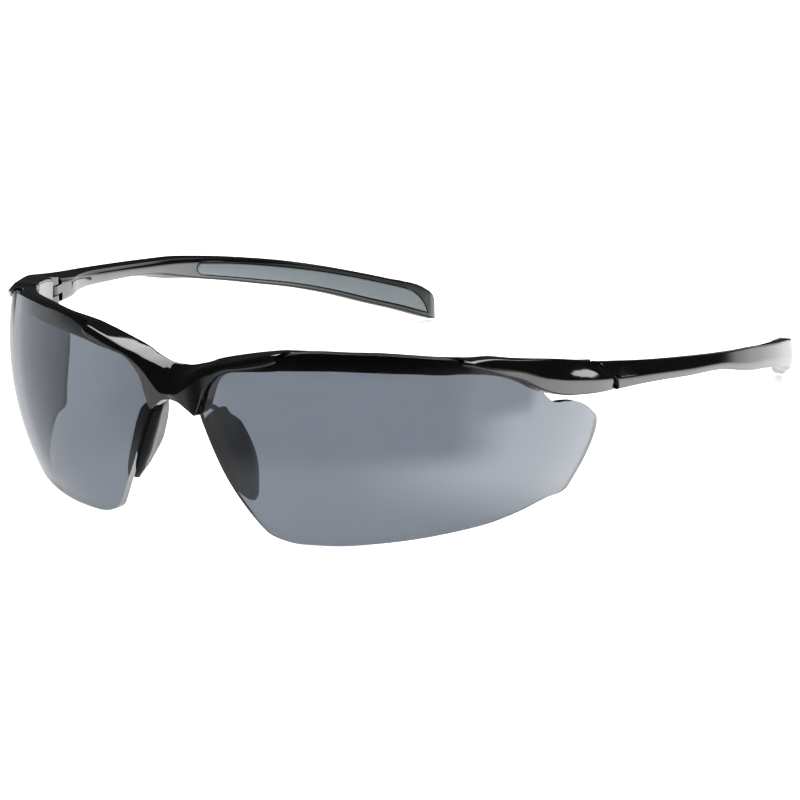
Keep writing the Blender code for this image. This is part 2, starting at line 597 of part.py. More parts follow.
def build_frame(hinge_hole, wire_hole):
    half = frame_mesh()
    frame = add_object("frame_front", half, BLACK_PLASTIC)
    mirror = frame.modifiers.new("other_half", "MIRROR")
    mirror.use_mirror_merge = True
    mirror.merge_threshold = 0.00001
    pocket = lens_mesh("cut_lens", 2 * SLOT_GAP, -SLOT_GAP, LENS_THICKNESS + SLOT_GAP)
    for cutter in [pocket, *frame_hinge_cutters(), hinge_hole.copy(), wire_hole.copy()]:
        both = joined(cutter.name + "_both", [cutter, mirrored(cutter, cutter.name + "_right")])
        cut(frame, add_object("frame_front_" + cutter.name, both, cutter=True))


def build():
    temple = Temple()
    hinge_hole = screw_hole_mesh()
    wire_hole = wire_mesh("cut_wire", WIRE_HOLE_RADIUS, 1.0)
    build_frame(hinge_hole, wire_hole)
    pair("lens", lens_mesh("lens", 0.0, 0.0, LENS_THICKNESS), SMOKE_LENS)
    pair("nose_pad", pad_mesh(), BLACK_RUBBER, [wire_hole.copy()])
    pair("nose_pad_wire", wire_mesh("wire", WIRE_RADIUS, 0.0), STEEL)
    recess = temple.grip_mesh("cut_grip", INLAY_GAP, -GRIP_DEPTH - INLAY_GAP, 3.0)
    pair("temple", temple.mesh(), BLACK_PLASTIC, [*temple_hinge_cutters(), hinge_hole.copy(), recess])
    pair("temple_grip", temple.grip_mesh("grip", 0.0, -GRIP_DEPTH, GRIP_PROUD), GREY_RUBBER)
    pair("hinge_screw", screw_mesh(), STEEL, [screw_slot_mesh()])


for leftover in list(bpy.data.objects):
    bpy.data.objects.remove(leftover)
for collection_name in ("safety_glasses", "cutters"):
    collection = bpy.data.collections.new(collection_name)
    bpy.context.scene.collection.children.link(collection)
build()
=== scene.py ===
"""Looks for the wraparound safety glasses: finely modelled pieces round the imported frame,
procedural materials, a pale floor, soft studio light and the camera.

Sizes are in millimetres and are turned into metres when a mesh is made. The frame is the row
frame: +Z up, the wearer looks along -Y and +X is the wearer's left.
"""

import math

import bmesh
import bpy
import numpy as np
from mathutils import Matrix, Vector


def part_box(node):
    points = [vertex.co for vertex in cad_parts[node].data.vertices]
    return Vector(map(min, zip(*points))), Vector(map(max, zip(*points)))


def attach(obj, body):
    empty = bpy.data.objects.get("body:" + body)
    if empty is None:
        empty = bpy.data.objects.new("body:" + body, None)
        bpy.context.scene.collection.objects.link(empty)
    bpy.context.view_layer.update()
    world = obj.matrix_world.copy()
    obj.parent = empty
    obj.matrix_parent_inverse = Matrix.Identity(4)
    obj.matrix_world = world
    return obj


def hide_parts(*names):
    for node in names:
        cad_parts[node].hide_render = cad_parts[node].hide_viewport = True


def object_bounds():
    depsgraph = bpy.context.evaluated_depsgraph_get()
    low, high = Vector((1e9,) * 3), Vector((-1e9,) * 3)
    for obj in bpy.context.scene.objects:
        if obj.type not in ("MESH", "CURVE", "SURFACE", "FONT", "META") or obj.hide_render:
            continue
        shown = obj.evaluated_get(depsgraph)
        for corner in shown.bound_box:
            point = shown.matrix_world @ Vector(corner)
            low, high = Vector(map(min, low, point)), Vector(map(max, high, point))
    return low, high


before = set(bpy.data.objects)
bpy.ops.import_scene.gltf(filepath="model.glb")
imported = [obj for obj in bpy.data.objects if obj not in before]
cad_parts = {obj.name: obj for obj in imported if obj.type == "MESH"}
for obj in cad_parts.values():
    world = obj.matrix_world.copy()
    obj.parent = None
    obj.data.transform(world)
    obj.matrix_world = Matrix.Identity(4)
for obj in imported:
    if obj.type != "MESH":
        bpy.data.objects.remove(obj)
CAD_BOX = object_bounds()

MM = 0.001

# Lens: part of a toric surface, one per eye. The left one is centred here. Level cuts are
# circles, the widest at the centre's height, and the upright curve is a little flatter.
LENS_CENTRE = (13.5, -25.0, 26.7)
LENS_RADIUS = 53.8
LENS_UPRIGHT_RADIUS = 62.0
LENS_THICKNESS = 2.0
LENS_ROWS = 36
LENS_COLUMNS = 130

# Clearances between pieces that touch
SLOT_GAP = 0.2
INLAY_GAP = 0.25

# Hinge: a temple tongue between two ears of the frame, on an upright screw, head down
HINGE_X = 65.9
HINGE_Y = -29.9
KNUCKLE_RADIUS = 1.75
TONGUE_LOW = 29.8
TONGUE_HIGH = 31.6
EAR_GAP = 0.3
HINGE_WALL_X = 67.9
HINGE_WALL_GAP = 0.25
SCREW_RADIUS = 0.7
SCREW_HOLE_RADIUS = 0.8
SCREW_TOP = 32.6
SCREW_HEAD_RADIUS = 1.15
SCREW_HEAD_TOP = 28.4
SCREW_HEAD_BOTTOM = 27.6
SCREW_BEVEL = 0.15
SCREW_TIP_GAP = 0.15
SCREW_HEAD_GAP = 0.15
SCREW_SEAT_GAP = 0.1
DRIVER_SLOT_LENGTH = 4.0
DRIVER_SLOT_WIDTH = 0.32
DRIVER_SLOT_DEPTH = 0.35

# How far ahead of the screw the ears are cut to shape, and the space behind them
EAR_LENGTH = 2.7
EAR_REAR_GAP = 0.4

# Where the hinge's cutters end, clear of what they cut: nearest and farthest x, y and z
CUT_X = (58.0, 80.0)
CUT_Y = (-40.0, -10.0)
CUT_Z = (20.0, 40.0)

# Nose pad wire
WIRE_RADIUS = 0.55
WIRE_HOLE_RADIUS = 0.75
WIRE_HOLE_EXTRA = 1.0

# Lens outline as (angle round the lens's upright axis in degrees, height). The angle is 0
# straight ahead and grows towards the temple.
LENS_BOTTOM = ((5.9, 2.0), (9.5, 0.6), (13.6, 0.0), (22.4, 0.0), (33.7, 0.7), (42.6, 1.45),
               (51.0, 2.3), (59.8, 3.3), (67.0, 4.7), (74.6, 6.45), (81.1, 7.5))
LENS_NOSE = ((5.9, 2.0), (3.9, 4.1), (1.5, 7.4), (-2.1, 13.2), (-4.8, 18.9), (-6.7, 23.1),
             (-7.9, 25.7), (-8.6, 28.1))
LENS_OUTER = ((81.1, 7.5), (82.8, 9.7), (85.7, 13.6), (87.9, 17.5), (88.6, 19.7),
              (88.4, 21.4), (86.9, 22.8))
LENS_TOP = ((-8.6, 28.1), (-7.9, 31.0), (-5.5, 33.7), (-2.3, 35.8), (2.8, 37.4), (7.6, 38.7),
            (11.1, 39.8), (14.0, 40.6), (28.7, 41.2), (43.3, 40.1), (50.9, 38.9), (55.9, 37.4),
            (60.1, 36.1), (66.4, 33.6), (70.4, 31.2), (72.3, 29.1), (74.5, 27.3), (78.2, 26.7),
            (81.2, 26.1), (84.1, 24.8), (86.9, 22.8))

# Frame sections as angle, then six corners of (depth behind the lens's front face, height):
# top back, top front, crease, lip, under the lens, bottom back. Below BRIDGE_TURN_START the
# section turns from square to the lens to square to the wearer, at the bridge's middle (x = 0).
BRIDGE_ANGLE = -math.degrees(math.asin(LENS_CENTRE[0] / LENS_RADIUS))
FRAME_SECTIONS = (
    (BRIDGE_ANGLE, (2.0, 35.3), (-1.0, 33.5), (-4.2, 30.3), (-3.0, 28.8), (-0.5, 28.5), (2.0, 28.9)),
    (-12.1, (2.2, 35.5), (-1.0, 33.9), (-3.9, 30.6), (-2.7, 28.4), (-0.3, 28.1), (2.4, 28.4)),
    (-9.7, (2.9, 36.0), (-1.0, 34.9), (-3.0, 32.2), (-1.9, 26.8), (0.5, 26.4), (3.8, 26.7)),
    (-8.4, (3.3, 36.3), (-1.0, 35.5), (-2.5, 33.1), (-1.4, 26.1), (1.4, 25.9), (4.8, 26.3)),
    (-7.4, (3.6, 36.6), (-1.0, 35.9), (-2.1, 33.8), (-1.2, 28.1), (2.4, 28.3), (4.9, 28.5)),
    (-6.3, (3.8, 37.1), (-0.9, 36.2), (-1.9, 34.5), (-1.1, 31.1), (2.5, 31.3), (4.9, 31.5)),
    (-4.2, (4.3, 37.7), (-0.7, 36.9), (-1.4, 35.5), (-0.9, 33.9), (2.5, 33.9), (4.9, 33.9)),
    (-2.0, (4.6, 38.2), (-0.6, 37.4), (-1.1, 36.5), (-0.8, 35.6), (2.5, 34.9), (5.0, 34.8)),
    (2.7, (5.0, 39.1), (-0.4, 38.7), (-0.9, 37.7), (-0.7, 36.8), (2.5, 35.7), (5.2, 35.6)),
    (7.5, (5.3, 39.8), (-0.2, 39.9), (-0.8, 39.0), (-0.6, 37.9), (2.6, 36.1), (5.3, 36.0)),
    (11.0, (5.4, 40.2), (0.7, 40.5), (-0.5, 39.8), (-0.3, 38.9), (2.7, 36.5), (5.4, 36.4)),
    (14.0, (5.5, 40.3), (2.4, 40.6), (2.0, 40.1), (2.2, 39.3), (2.7, 36.7), (5.4, 36.5)),
    (22.6, (5.5, 40.3), (2.5, 40.7), (2.5, 39.9), (2.5, 38.5), (2.8, 37.0), (5.4, 36.9)),
    (35.0, (5.5, 40.1), (2.5, 40.5), (2.5, 39.7), (2.5, 38.3), (2.8, 36.6), (5.3, 36.5)),
    (43.0, (5.4, 39.4), (2.5, 39.7), (2.5, 39.1), (2.5, 37.9), (2.8, 36.1), (5.3, 35.9)),
    (49.0, (5.3, 38.7), (2.1, 39.2), (1.9, 38.6), (2.2, 37.6), (2.8, 35.5), (5.2, 35.3)),
    (52.5, (5.2, 38.4), (0.7, 39.0), (-0.4, 38.6), (-0.3, 37.9), (2.8, 35.4), (5.1, 35.1)),
    (56.0, (5.0, 38.1), (0.6, 38.5), (-0.8, 37.6), (-0.5, 36.9), (2.8, 35.0), (5.0, 34.8)),
    (60.2, (4.9, 37.9), (0.2, 38.3), (-1.2, 36.5), (-0.7, 35.3), (2.8, 34.4), (4.9, 34.3)),
    (66.4, (4.6, 36.8), (0.0, 37.3), (-1.3, 35.0), (-0.7, 33.1), (2.8, 32.3), (4.7, 32.2)),
    (71.0, (4.4, 36.0), (-0.2, 36.7), (-1.6, 33.2), (-0.9, 30.5), (2.8, 29.8), (4.5, 29.9)),
    (75.2, (4.0, 35.3), (-0.5, 36.1), (-1.8, 31.9), (-1.0, 28.8), (2.4, 28.3), (4.0, 28.7)),
    (81.8, (3.2, 33.9), (-0.9, 34.7), (-2.2, 30.5), (-1.5, 27.5), (2.2, 27.2), (3.2, 28.0)),
    (86.6, (2.9, 33.1), (-1.2, 33.7), (-2.7, 29.6), (-2.1, 26.9), (1.8, 26.7), (2.9, 27.7)),
    (95.0, (2.5, 31.7), (-2.0, 32.3), (-3.5, 28.2), (-2.9, 26.3), (1.4, 26.1), (2.5, 27.3)),
)
FRAME_CORNER_RADII = (0.75, 0.7, 0.4, 0.4, 0.5, 0.9)
BRIDGE_TURN_START = -3.0

# Temple sections as y, outer face x, thickness, then heights of the outer top, inner top, outer
# bottom and inner bottom edges and of the crease in the outer face, and how far the outer face
# leans in above the crease. At its bottom edge it leans in by TEMPLE_LOW_LEAN.
TEMPLE_SECTIONS = (
    (-34.4, 68.9, 5.4, 34.6, 33.8, 27.8, 28.4, 30.7, 1.5),
    (-29.4, 70.2, 6.0, 33.7, 32.9, 27.0, 27.9, 29.7, 1.6),
    (-23.4, 71.2, 6.0, 32.5, 31.8, 26.6, 27.6, 28.8, 1.6),
    (-18.9, 72.0, 5.0, 31.6, 30.9, 26.3, 27.4, 28.2, 1.5),
    (-14.4, 72.7, 4.3, 30.8, 30.0, 25.9, 27.0, 27.6, 1.4),
    (-2.4, 73.9, 3.8, 28.7, 27.8, 24.3, 25.4, 25.7, 1.2),
    (11.6, 74.4, 3.5, 26.3, 25.4, 22.3, 23.1, 23.5, 0.9),
    (17.6, 74.2, 3.4, 25.3, 24.5, 20.5, 21.8, 21.9, 0.7),
    (22.6, 73.8, 3.4, 24.5, 23.7, 19.2, 20.2, 20.7, 0.6),
    (29.6, 72.8, 3.4, 23.0, 22.4, 17.8, 18.0, 19.5, 0.5),
    (37.6, 70.8, 3.4, 21.2, 20.8, 15.8, 15.8, 17.6, 0.4),
    (44.6, 68.2, 3.4, 19.5, 19.2, 13.8, 13.8, 15.6, 0.3),
    (52.6, 64.6, 3.4, 17.4, 17.1, 11.5, 11.5, 13.4, 0.3),
    (59.6, 60.5, 3.4, 15.2, 15.0, 9.0, 9.0, 11.0, 0.3),
    (67.6, 55.1, 3.4, 12.3, 12.1, 5.5, 5.5, 7.6, 0.3),
    (72.6, 51.4, 3.3, 10.3, 10.1, 3.4, 3.4, 5.5, 0.3),
    (76.6, 48.4, 3.2, 8.7, 8.5, 1.5, 1.5, 3.7, 0.3),
    (78.8, 46.8, 3.1, 6.9, 6.7, 0.5, 0.5, 2.6, 0.3),
    (80.0, 45.9, 2.9, 5.3, 5.1, 0.0, 0.0, 1.9, 0.3),
    (80.7, 45.4, 2.6, 3.9, 3.7, 0.4, 0.4, 1.7, 0.3),
    (81.1, 45.1, 2.1, 2.6, 2.5, 1.1, 1.1, 1.6, 0.2),
)
TEMPLE_CORNER_RADII = (1.0, 0.55, 0.55, 0.6, 0.9)
TEMPLE_LOW_LEAN = 0.35

# Where the frame's outer skin ends and the temple's begins, as (y, z) from top to bottom
HINGE_SPLIT = ((-29.8, 36.5), (-28.7, 34.0), (-27.5, 32.1), (-26.0, 30.6), (-24.6, 29.0),
               (-24.1, 27.4), (-24.6, 26.0), (-25.9, 23.5))

# Grip inlay in the temple's inner face
GRIP_FRONT_Y = 28.8
GRIP_REAR_Y = 79.3
GRIP_DEPTH = 1.1
GRIP_PROUD = 0.25
GRIP_TOP_BORDERS = (0.95, 1.5)
GRIP_BOTTOM_BORDERS = (1.05, 1.3)
GRIP_ROUND_LENGTH = 1.5
GRIP_TAPER_LENGTH = 5.0
GRIP_LEAST_HALF = 0.25
GRIP_CROWN = 0.08
GRIP_CORNER = 0.3
GRIP_CORNER_SHARE = 0.45
GRIP_CUT_REACH = 3.0

# Nose pad sections as height, then x and y of four corners: the front one by the nose, the
# front one by the lens, the rear one by the lens and the rear one by the nose
PAD_SECTIONS = (
    (26.5, (6.6, -73.6), (8.6, -73.7), (8.2, -71.5), (7.2, -70.8)),
    (25.9, (6.1, -74.3), (9.7, -74.4), (8.7, -71.4), (7.0, -69.9)),
    (25.2, (5.5, -75.1), (10.3, -75.2), (9.3, -71.6), (7.3, -69.6)),
    (23.4, (5.5, -75.8), (11.2, -75.4), (10.3, -71.4), (8.7, -67.7)),
    (21.5, (6.0, -75.8), (11.9, -75.4), (11.4, -71.0), (9.5, -66.9)),
    (18.5, (7.2, -75.6), (12.9, -75.1), (12.9, -70.4), (10.6, -66.3)),
    (15.7, (8.4, -75.2), (13.9, -74.7), (13.9, -70.4), (11.6, -66.2)),
    (12.7, (10.2, -74.6), (15.0, -74.1), (14.8, -70.6), (12.8, -67.4)),
    (10.7, (11.4, -74.0), (15.6, -73.5), (15.2, -70.9), (13.5, -68.8)),
    (9.4, (12.6, -73.4), (15.7, -73.0), (15.5, -71.5), (14.2, -70.2)),
    (8.6, (13.6, -72.8), (15.2, -72.5), (15.0, -71.7), (14.0, -71.2)),
)
PAD_CORNER_RADII = (1.0, 1.3, 1.8, 1.3)

# Wire from the frame's foot down into the pad, as (x, y, z)
WIRE_ROUTE = ((4.6, -74.8, 29.5), (5.0, -74.5, 27.9), (6.4, -73.5, 26.9), (7.9, -72.6, 25.6),
              (9.2, -72.3, 23.2), (10.6, -72.3, 20.0), (11.9, -72.2, 16.5))

# How finely the shapes are modelled: rings from one section to the next, and the longest step
# along the temple
FRAME_PARTS = 5
PAD_PARTS = 5
TEMPLE_STEP = 0.9

# The open gap at the split. Then small roundings: how far a facet of the frame bulges, as a share
# of its width, the edges at the split and round a lens, and the most of a side that one rounded
# corner takes
SPLIT_GAP = 0.2
FACET_CROWN = 0.008
SPLIT_BEVEL = 0.08
LENS_EDGE_BEVEL = 0.18
CORNER_SHARE = 0.42

# Points closer than this, in metres, are taken as one
MERGE_DISTANCE = 0.000002

# Camera: place, then its turn round the object, its elevation and its roll in degrees, and its
# focal length
CAMERA_PLACE = (1034.38, -1516.70, 542.53)
CAMERA_TURNS = (34.2626, 16.2233, -1.4662)
CAMERA_LENS = 413.9

# The studio as it shows in reflections: turn, rise, half width, half height, soft edge sideways,
# soft edge upwards, all in degrees, and brightness. A turn of 0 is towards +Y and 90 towards
# +X. The first row adds to the dark studio, and later rows cover earlier ones.
DARK_STUDIO = 0.05
STUDIO = (
    (0.0, -46.0, 182.0, 46.0, 1.0, 6.0, 0.9),
    (66.0, -26.0, 62.0, 20.0, 92.0, 24.0, 4.6),
    (160.0, -14.0, 60.0, 17.0, 40.0, 12.0, 0.12),
    (-40.0, 8.0, 19.0, 21.0, 3.0, 3.0, 0.04),
    (0.0, 14.0, 16.0, 14.0, 5.0, 5.0, 1.1),
    (90.0, 8.0, 14.0, 24.0, 8.0, 8.0, 0.95),
    (-24.0, 58.0, 27.0, 17.0, 1.5, 1.2, 5.6),
)

# A small bright card that only glossy pieces mirror, as directions of its corners
GLINT = ((59.4, 15.0), (57.0, 15.6), (55.0, 15.4), (53.0, 15.7), (51.0, 15.7), (49.2, 15.2),
         (48.6, 14.4), (48.6, 13.8), (50.5, 13.6), (52.0, 13.1), (54.0, 12.6), (57.0, 12.6),
         (59.0, 13.8))
GLINT_DISTANCE = 1.5
GLINT_BRIGHTNESS = 8.0

# The panel above, in metres
OVERHEAD_PLACE = (0.0, 0.2, 2.2)
OVERHEAD_SIZE = (3.4, 3.4)
OVERHEAD_BRIGHTNESS = 2.2

FLOOR_HALF_SIZE = 6.0
FLOOR_DROP = 0.0002
FLOOR_GLOW = 0.75


def smooth_curve(knots, values, at):
    """Values at the places `at` on a smooth curve through the knots, which run upwards."""
    knots = np.asarray(knots, float)
    values = np.asarray(values, float)
    at = np.asarray(at, float)
    steps = np.diff(knots)
    slopes = np.diff(values) / steps
    tangents = np.empty(len(knots))
    tangents[0] = slopes[0]
    tangents[-1] = slopes[-1]
    tangents[1:-1] = (slopes[:-1] * steps[1:] + slopes[1:] * steps[:-1]) / (steps[1:] + steps[:-1])
    place = np.clip(np.searchsorted(knots, at) - 1, 0, len(steps) - 1)
    step = steps[place]
    t = (at - knots[place]) / step
    return ((2 * t**3 - 3 * t**2 + 1) * values[place]
            + (t**3 - 2 * t**2 + t) * step * tangents[place]
            + (3 * t**2 - 2 * t**3) * values[place + 1]
            + (t**3 - t**2) * step * tangents[place + 1])


def lens_sides(columns, rows):
    """The bottom, outer, top and nose sides of the lens's outline, as evenly spaced points on
    one closed smooth curve. All run away from the nose or upwards."""
    loop = list(LENS_BOTTOM + LENS_OUTER[1:] + LENS_TOP[-2::-1] + LENS_NOSE[-2:0:-1])
    points = np.array(loop[-2:] + loop + loop[:3])
    length = np.concatenate([[0.0], np.cumsum(np.hypot(*np.diff(points, axis=0).T))])
    sides = []
    start = 2
    for line, count in ((LENS_BOTTOM, columns), (LENS_OUTER, rows), (LENS_TOP, columns),
                        (LENS_NOSE, rows)):
        end = start + len(line) - 1
        at = np.linspace(length[start], length[end], count + 1)
        sides.append(np.stack([smooth_curve(length, points[:, k], at) for k in (0, 1)], axis=1))
        start = end
    bottom, outer, top, nose = sides
    bottom[:, 1] = np.maximum(bottom[:, 1], 0.0)
    return bottom, outer, top[::-1], nose[::-1]


def level_radius(z):
    """Radius of the lens surface's level circle at height z."""
    drop = LENS_UPRIGHT_RADIUS - np.sqrt(LENS_UPRIGHT_RADIUS**2 - (z - LENS_CENTRE[2]) ** 2)
    return LENS_RADIUS - drop


def lens_point(angle, z, depth):
    """A point of the left lens, `depth` behind its front face."""
    turn = math.radians(angle)
    reach = level_radius(z) - depth
    return (LENS_CENTRE[0] + reach * math.sin(turn), LENS_CENTRE[1] - reach * math.cos(turn), z)


def frame_point(angle, depth, z):
    """A point of the frame. At the bridge its x stays put with height, and depth turns to +Y."""
    if angle >= 0:
        return lens_point(angle, z, depth)
    x = LENS_CENTRE[0] + LENS_RADIUS * math.sin(math.radians(angle))
    y = LENS_CENTRE[1] - math.sqrt(level_radius(z) ** 2 - (x - LENS_CENTRE[0]) ** 2)
    share = (BRIDGE_TURN_START - angle) / (BRIDGE_TURN_START - BRIDGE_ANGLE)
    share = min(max(share, 0.0), 1.0)
    facing = math.radians(angle * (1 - share))
    return (x - depth * math.sin(facing), y + depth * math.cos(facing), z)


def rounded(corners, radii, steps=5):
    """A closed outline whose corners are rounded, with steps + 1 points at each."""
    corners = np.asarray(corners, float)
    points = []
    for k, corner in enumerate(corners):
        before = corners[k - 1] - corner
        after = corners[(k + 1) % len(corners)] - corner
        start = corner + before * min(radii[k] / np.linalg.norm(before), CORNER_SHARE)
        end = corner + after * min(radii[k] / np.linalg.norm(after), CORNER_SHARE)
        for t in np.linspace(0.0, 1.0, steps + 1):
            points.append((1 - t) ** 2 * start + 2 * t * (1 - t) * corner + t * t * end)
    return points


# ---------------------------------------------------------------- meshes


def mesh_from(name, points, faces):
    """A mesh in metres from points in millimetres, with its faces turned outwards."""
    mesh = bpy.data.meshes.new(name)
    mesh.from_pydata([[v * MM for v in p] for p in points], [], faces)
    shape = bmesh.new()
    shape.from_mesh(mesh)
    bmesh.ops.recalc_face_normals(shape, faces=shape.faces)
    shape.to_mesh(mesh)
    shape.free()
    return mesh


def loft(name, rings, open_start=False):
    """A solid through rings of as many points each, capped at its ends."""
    size = len(rings[0])
    points = [p for ring in rings for p in ring]
    faces = []
    for r in range(len(rings) - 1):
        for k in range(size):
            after = (k + 1) % size
            faces.append((r * size + k, r * size + after, (r + 1) * size + after, (r + 1) * size + k))
    if not open_start:
        faces.append(tuple(range(size)))
    faces.append(tuple(range((len(rings) - 1) * size, len(rings) * size)))
    return mesh_from(name, points, faces)


def prism(name, outline, low, high, place):
    """A solid that runs an outline from low to high. place(u, v, w) puts a point in space."""
    return loft(name, [[place(u, v, w) for u, v in outline] for w in (low, high)])


def mirrored(mesh, name):
    """A copy of a mesh on the other side of the plane x = 0."""
    copy = mesh.copy()
    copy.name = name
    copy.transform(Matrix.Scale(-1.0, 4, (1.0, 0.0, 0.0)))
    copy.flip_normals()
    return copy


def joined(name, meshes):
    """One mesh that holds all these meshes."""
    shape = bmesh.new()
    for mesh in meshes:
        shape.from_mesh(mesh)
    made = bpy.data.meshes.new(name)
    shape.to_mesh(made)
    shape.free()
    return made


def cut(name, mesh, cutters):
    """The mesh with each cutter taken away."""
    target = bpy.data.objects.new(name + "_work", mesh)
    bpy.context.scene.collection.objects.link(target)
    helpers = [target]
    for k, cutter in enumerate(cutters):
        helper = bpy.data.objects.new(f"{name}_cutter_{k}", cutter)
        bpy.context.scene.collection.objects.link(helper)
        helpers.append(helper)
        modifier = target.modifiers.new(f"cut_{k}", "BOOLEAN")
        modifier.operation = "DIFFERENCE"
        modifier.object = helper
    graph = bpy.context.evaluated_depsgraph_get()
    made = bpy.data.meshes.new_from_object(target.evaluated_get(graph))
    for helper in helpers:
        bpy.data.objects.remove(helper)
    made.name = name
    return cleaned(made)


def cleaned(mesh):
    """The mesh without doubled points or slivers."""
    shape = bmesh.new()
    shape.from_mesh(mesh)
    bmesh.ops.remove_doubles(shape, verts=shape.verts, dist=MERGE_DISTANCE)
    bmesh.ops.dissolve_degenerate(shape, edges=shape.edges, dist=MERGE_DISTANCE)
    bmesh.ops.recalc_face_normals(shape, faces=shape.faces)
    shape.to_mesh(mesh)
    shape.free()
    return mesh


def lens_mesh(name, grow, front, back):
    """The left lens between two depths, its outline grown by `grow` on every side."""
    columns, lines = LENS_COLUMNS, LENS_ROWS
    bottom, outer, top, nose = lens_sides(columns, lines)
    turn = math.degrees(grow / LENS_RADIUS)
    sheets = []
    for depth in (front, back):
        sheet = []
        for i in range(columns + 1):
            s = i / columns
            for j in range(lines + 1):
                t = j / lines
                corners = ((1 - s) * (1 - t) * bottom[0] + s * (1 - t) * bottom[-1]
                           + (1 - s) * t * top[0] + s * t * top[-1])
                angle, z = ((1 - t) * bottom[i] + t * top[i] + (1 - s) * nose[j]
                            + s * outer[j] - corners)
                sheet.append(lens_point(angle + turn * (2 * s - 1), z + grow * (2 * t - 1), depth))
        sheets.append(sheet)
    rows = lines + 1
    count = len(sheets[0])
    faces = []
    for i in range(columns):
        for j in range(lines):
            quad = (i * rows + j, (i + 1) * rows + j, (i + 1) * rows + j + 1, i * rows + j + 1)
            faces.append(quad)
            faces.append(tuple(count + k for k in reversed(quad)))
    rim = ([i * rows for i in range(columns)]
           + [columns * rows + j for j in range(lines)]
           + [i * rows + lines for i in range(columns, 0, -1)]
           + list(range(lines, 0, -1)))
    for k, here in enumerate(rim):
        after = rim[(k + 1) % len(rim)]
        faces.append((here, after, count + after, count + here))
    return mesh_from(name, sheets[0] + sheets[1], faces)


def crowned(corners):
    """A frame section's rounded outline. Its top and the side from top front to crease bulge
    very slightly. The later side is done first, so that the places in the outline stay right."""
    outline = [np.array(point) for point in rounded(corners, FRAME_CORNER_RADII)]
    middle = sum(outline) / len(outline)
    size = len(outline) // len(corners)
    for corner in (2, 1):
        start, end = outline[corner * size - 1], outline[corner * size]
        out = np.array((end[1] - start[1], start[0] - end[0]))
        out *= math.copysign(FACET_CROWN, out.dot((start + end) / 2 - middle))
        outline[corner * size:corner * size] = [start + (end - start) * t + out * 4 * t * (1 - t)
                                                for t in (0.2, 0.4, 0.6, 0.8)]
    return outline


def frame_mesh():
    """The left half of the frame front, open at x = 0."""
    angles = [section[0] for section in FRAME_SECTIONS]
    at = []
    for a, b in zip(angles, angles[1:]):
        at += list(np.linspace(a, b, FRAME_PARTS, endpoint=False))
    at = np.array(at + [angles[-1]])
    corners = []
    for k in range(len(FRAME_CORNER_RADII)):
        depth = smooth_curve(angles, [section[1 + k][0] for section in FRAME_SECTIONS], at)
        height = smooth_curve(angles, [section[1 + k][1] for section in FRAME_SECTIONS], at)
        corners.append(np.stack([depth, height], axis=1))
    rings = []
    for r, angle in enumerate(at):
        outline = crowned([corner[r] for corner in corners])
        rings.append([frame_point(angle, depth, z) for depth, z in outline])
    for k, point in enumerate(rings[0]):
        rings[0][k] = (0.0, point[1], point[2])
    return loft("frame_half", rings, open_start=True)


